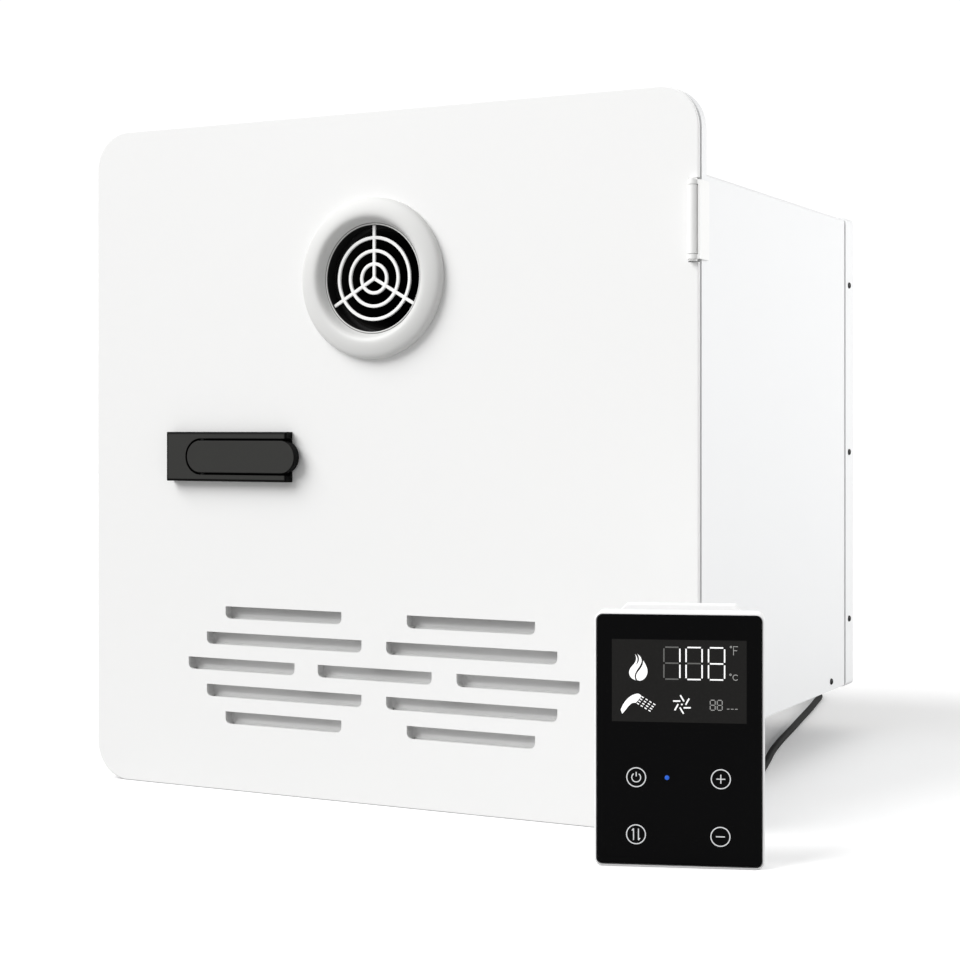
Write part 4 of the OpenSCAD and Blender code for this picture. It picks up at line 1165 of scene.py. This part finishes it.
segmentsOf = {"0": "abcdef", "1": "bc", "8": "abcdefg"}
display = {
    "digits": [(-3.3, "1"), (7.1, "0"), (17.6, "8")],
    "digitHeight": 96.2,
    "digitSize": (7.5, 15.0, 0.62),
    "digitWeight": 0.66,
    "smallDigits": (15.8, 19.1),
    "smallHeight": 76.8,
    "smallSize": (2.3, 4.7, 0.3),
    "smallWeight": 0.40,
    "degreeF": (24.3, 104.2, 0.36),
    "letterF": [[(25.5, 100.4), (25.5, 104.4), (27.6, 104.4)], [(25.5, 102.5), (27.2, 102.5)]],
    "degreeC": (24.1, 91.2, 0.36),
    "letterC": (26.5, 89.9, 1.25, 40, 320, 18),
    "dashes": [(22.4, 23.6), (24.3, 25.5), (26.2, 27.4)],
    "dashHeight": 75.1,
    "unitWeight": 0.34,
    # two curled tongues on the left, a drop on the right
    "flame": (-19.2, 94.3),
    "tongues": [
        (-1.60, 6.10), (-0.53, 4.61), (-0.32, 3.06), (-1.12, 0.49), (0.16, 2.45), (0.37, 4.20),
        (-0.27, 6.00), (1.12, 4.61), (1.65, 2.96), (1.01, 0.80), (-0.27, -1.25), (-1.28, -3.11),
        (-1.60, -4.65), (-1.22, -6.40), (-3.30, -5.16), (-4.26, -2.90), (-3.67, -0.84),
        (-1.86, 1.47), (-1.06, 3.06), (-1.01, 4.61),
    ],
    "tongueTips": (0, 3, 6, 13),
    "drop": [
        (2.39, 3.01), (3.46, 1.11), (4.36, -1.46), (4.15, -3.62), (2.93, -5.57), (0.96, -6.55),
        (-0.48, -6.29), (-0.96, -4.85), (-0.59, -3.21), (0.69, -1.36), (2.02, 0.85),
    ],
    "dropTips": (0, 6),
    # hand shower with four rows of drops
    "spray": (-19.6, 77.4),
    "handle": [
        (-7.85, -3.49), (-6.46, -0.61), (-3.80, 2.47), (-1.04, 3.96), (0.66, 4.12), (2.05, 3.09),
        (-0.66, -0.10), (-2.37, -0.30), (-3.80, -1.43), (-5.56, -3.59), (-7.10, -5.45),
    ],
    "handleTips": (0, 5, 6, 10),
    "firstDrop": (2.15, 2.83),
    "nextRow": (-0.75, -1.03),
    "nextDrop": (1.81, -1.08),
    "dropWeight": 0.5,
    # six slanted blades round a hub
    "fan": (1.4, 76.9),
    "bladeEnds": [(1.75, 56), (4.4, 100)],
    "bladeWeight": 0.68,
    "fanHub": (0.22, 0.4),
}


def digitLines(x, z, size, shown):
    wide, tall, gap = size
    half, mid = wide / 2, tall / 2
    places = {
        "a": ((-half + gap, mid), (half - gap, mid)),
        "g": ((-half + gap, 0), (half - gap, 0)),
        "d": ((-half + gap, -mid), (half - gap, -mid)),
        "f": ((-half, mid - gap), (-half, gap)),
        "b": ((half, mid - gap), (half, gap)),
        "e": ((-half, -gap), (-half, -mid + gap)),
        "c": ((half, -gap), (half, -mid + gap)),
    }
    return [[(x + px, z + pz) for px, pz in places[s]] for s in shown]


def dropLines():
    d = display
    origin, row, step = Vector(d["spray"]), Vector(d["nextRow"]), Vector(d["nextDrop"])
    first = origin + Vector(d["firstDrop"])
    return [
        [first + row * r + step * (k + end) for end in (-0.05, 0.5)]
        for r in range(4) for k in range(4)
    ]


def bladeLines():
    fx, fz = display["fan"]
    blades = []
    for k in range(6):
        ends = [(reach, math.radians(at - 60 * k)) for reach, at in display["bladeEnds"]]
        blades.append([(fx + r * math.cos(a), fz + r * math.sin(a)) for r, a in ends])
    return blades


def makeDisplayMarks():
    d = display
    lit, dim, small = [], [], []
    for x, figure in d["digits"]:
        on = segmentsOf[figure]
        off = [s for s in "abcdefg" if s not in on]
        lit += digitLines(x, d["digitHeight"], d["digitSize"], on)
        dim += digitLines(x, d["digitHeight"], d["digitSize"], off)
    for x in d["smallDigits"]:
        small += digitLines(x, d["smallHeight"], d["smallSize"], "abcdefg")
    units = [ringLine(*d["degreeF"], count=16), *d["letterF"]]
    units += [ringLine(*d["degreeC"], count=16), ringLine(*d["letterC"])]
    dashes = [[(x, d["dashHeight"]) for x in ends] for ends in d["dashes"]]
    hub, hubWeight = d["fanHub"]
    flame = (d["tongues"], d["tongueTips"]), (d["drop"], d["dropTips"])
    litMarks = [
        strokeMark("digitsLit", lit, d["digitWeight"]),
        fillMark("flameMark", d["flame"], *flame),
        fillMark("sprayHandle", d["spray"], (d["handle"], d["handleTips"])),
        strokeMark("sprayDrops", dropLines(), d["dropWeight"]),
        strokeMark("fanBlades", bladeLines(), d["bladeWeight"]),
        strokeMark("fanHub", [ringLine(*d["fan"], hub, count=12)], hubWeight),
    ]
    dimMarks = [strokeMark("digitsDim", dim, d["digitWeight"])]
    faintMarks = [
        strokeMark("smallDigits", small, d["smallWeight"]),
        strokeMark("degrees", units, d["unitWeight"]),
        strokeMark("flowDashes", dashes, d["unitWeight"]),
    ]
    seat(joinAs("displayLit", litMarks), "litMark", "lcd_grey")
    seat(joinAs("displayFaint", faintMarks), "faintMark", "lcd_grey")
    seat(joinAs("displayDim", dimMarks), "dimMark", "lcd_grey")


def makeKeyMarks():
    c = controller
    k, half = c["keys"], c["keyLine"]
    lines = [ringLine(x, z, c["keyRing"]) for x, z in k.values()]
    x, z = k["power"]
    lines += [ringLine(x, z - 0.1, half, 125, 415, 30), [(x, z + 0.4), (x, z + 2.5)]]
    lines += [[(x - half, z), (x + half, z)] for x, z in (k["plus"], k["minus"])]
    x, z = k["plus"]
    lines.append([(x, z - half), (x, z + half)])
    x, z = k["arrows"]
    for s in (-1, 1):
        shaft = x + 1.15 * s
        lines.append([(shaft, z - 2.7), (shaft, z + 2.7)])
        lines.append([(x + 1.9 * s, z - 1.7 * s), (shaft, z - 2.75 * s)])
    seat(strokeMark("keyMarks", lines, c["keyWeight"]), "keyMark", "panel_glass")
    x, z, r = c["led"]
    profile = [(0, -0.12), (r * 0.5, -0.10), (r * 0.85, -0.05), (r, 0.1), (0, 0.1)]
    lamp = lathe("pilotLamp", profile, (x, 0, z), steps=24)
    seat(softShade(lamp, sharp=60), "ledBlue", "panel_glass")


def makeRelief():
    c = controller
    profile = list(c["reliefBase"])
    for k in range(4):  # ribs of the bend guard
        at, radius = 3.0 + 2.4 * k, 4.6 - 0.24 * k
        root = radius - 0.8
        profile += [(radius, at), (radius, at + 1.3), (root, at + 1.45), (root, at + 2.1)]
    profile += c["reliefEnd"]
    guard = lathe("bendGuard", profile, (0, c["deep"], c["relief"]), steps=40)
    seat(softShade(guard), "gland", "cable_black", "controller_relief")


makeControllerShell()
makeControllerGlass()
makeDisplayMarks()
makeKeyMarks()
makeRelief()
print("controller put together")


# cable glands and threaded joints on the rear cover

rearParts = {
    "face": 360.0,
    "inside": 359.0,
    "glandHeight": -135.0,
    # name, place across, reach, bore, node
    "glands": [
        ("powerGland", -60.0, 18.0, 3.2, "power_gland"),
        ("leadGland", -10.0, 20.0, 2.0, "lead_gland"),
    ],
    "nut": 9.5,
    "joints": {
        "threadCold": (107.0, -88.0), "threadHot": (107.0, 53.0), "threadGas": (-107.0, -88.0),
    },
    "threadRoot": 10.6,
    "threadCrest": 11.25,
    "threadFrom": 368.0,
    "threadPitch": 1.8,
    "threadTurns": 10,
    "threadSteps": 36,
    "threadWall": 0.25,
}


def makeGland(name, x, out, bore, node):
    r = rearParts
    face, inside, z = r["face"], r["inside"], r["glandHeight"]
    nuts = []
    for start, long in ((face, 5), (inside - 4, 4)):
        nut = addRod("nut", r["nut"], (x, start, z), long, sides=6)
        roundEdges(nut, lambda a, b: True, 0.5, 2)
        nuts.append(nut)
    end, back = face + out, inside - 8
    profile = [(bore, back), (6, back), (6, inside), (7.0, face + 4.5), (7.5, face + 5.2)]
    for k in range(3):
        at = face + 6 + 2.6 * k
        profile += [(7.5, at), (7.5, at + 1.6), (7.0, at + 1.8), (7.0, at + 2.4)]
    profile += [(6.7, end - 3.2), (5.4, end - 1.0), (4.4, end), (bore, end), (bore, back)]
    cap = lathe(name, profile, (x, 0, z), steps=48)
    gland = joinAs(name, [cap, *nuts])
    dress(softShade(gland), "gland", "heater", "cable_black", node)


def makeThread(name, x, z):
    r = rearParts
    root, crest, p = r["threadRoot"], r["threadCrest"], r["threadPitch"]
    shape = [
        (root - 0.3, 0), (root, 0.12), (crest, 0.44), (crest, 0.56), (root, 0.88), (root - 0.3, 1),
    ]
    thread = drawLine(name, [Vector((radius, along * p, 0)) for radius, along in shape])
    closeEdit()
    useModifier(
        thread, "SCREW", axis="Y", angle=2 * math.pi, screw_offset=p * mm,
        steps=r["threadSteps"], render_steps=r["threadSteps"], iterations=r["threadTurns"],
        use_merge_vertices=True, merge_threshold=mergeGap,
    )
    openEdit(thread, "VERT")
    mendMesh()
    useModifier(thread, "SOLIDIFY", thickness=r["threadWall"] * mm, offset=-1)
    softShade(thread, sharp=25)
    putAt(thread, Matrix.Translation(Vector((x, r["threadFrom"], z)) * mm))
    dress(thread, "brass", "heater", "brass_metal")


for gland in rearParts["glands"]:
    makeGland(*gland)
for name, (x, z) in rearParts["joints"].items():
    makeThread(name, x, z)
print("rear fittings made")


# nodes of the frame that show as they are, with their edge breaks in mm

nodeFinish = {
    "caseWhite": {"wall_frame": 0.3, "rear_cover": 0.3, "casing_wrap": 0.25},
    "hingeWhite": {"hinge_frame_leaves": 0.1, "hinge_door_leaves": 0.25, "hinge_pins": 0.3},
    "shellWhite": {"controller_bracket": 0.35},
    "zinc": {
        "fan_impeller": 0.1, "base_plate": 0.2, "ring_retainer": 0.2, "latch_clamp": 0.2,
        "strike_plate": 0.25, "chassis_legs": 0.25, "fan_housing": 0.3, "latch_hook": 0.4,
    },
    "pinSteel": {"latch_spring": 0},
    "burnerSteel": {"burner_box": 0.2, "burner_bars": 0.2, "flue_hood": 0.3},
    "copper": {
        "exchanger_tubes": 0, "cold_pipe": 0, "exchanger_fins": 0.1, "exchanger_shell": 0.2,
    },
    "brass": {
        "gas_manifold": 0, "gas_pipe": 0, "gas_inlet": 0.4, "cold_inlet": 0.4, "hot_outlet": 0.4,
    },
    "alloy": {"gas_valve": 1.2},
    "coilBlue": {"gas_solenoids": 0.6},
    "ceramic": {"igniter": 0.2, "flame_sensor": 0.2},
    "screwBlack": {"latch_pin": 0.2},
    "soot": {"exhaust_spigot": 0.2},
    "seal": {"spigot_seal": 0.3, "door_seal": 0.4},
    "motorBlack": {"overheat_switch": 0.2, "fan_motor": 0.6, "spark_module": 0.8},
    "trayGrey": {"control_tray": 0.4, "flow_sensor": 0.6},
    "board": {"controller_board": 0.1, "control_board": 0.2},
    "windowGrey": {"controller_lcd": 0.1},
    "lead": {"wire_loom": 0},
    "gland": {"coil_tie": 0.25},
}
nodeMerge = 0.003 * mm
flatAngle = math.radians(0.6)


def softenNode(node, edge):  # the modifiers stay live, so the node's own mesh stays as it is
    addModifier(node, "WELD", merge_threshold=nodeMerge)
    addModifier(node, "DECIMATE", decimate_type="DISSOLVE", angle_limit=flatAngle)
    addModifier(
        node, "BEVEL", width=edge * mm, segments=2, limit_method="ANGLE", angle_limit=edgeAngle
    )
    addModifier(node, "WEIGHTED_NORMAL", keep_sharp=False)


finished = []
for finish, edges in nodeFinish.items():
    for name, edge in edges.items():
        for holder in nodes[name].material_slots:
            holder.material = finishes[finish]
        if edge:
            softenNode(nodes[name], edge)
        finished.append(name)
left = [n for n in nodes if n not in finished and not nodes[n].hide_render]
print("nodes finished,", len(finished), "and left over:", left)
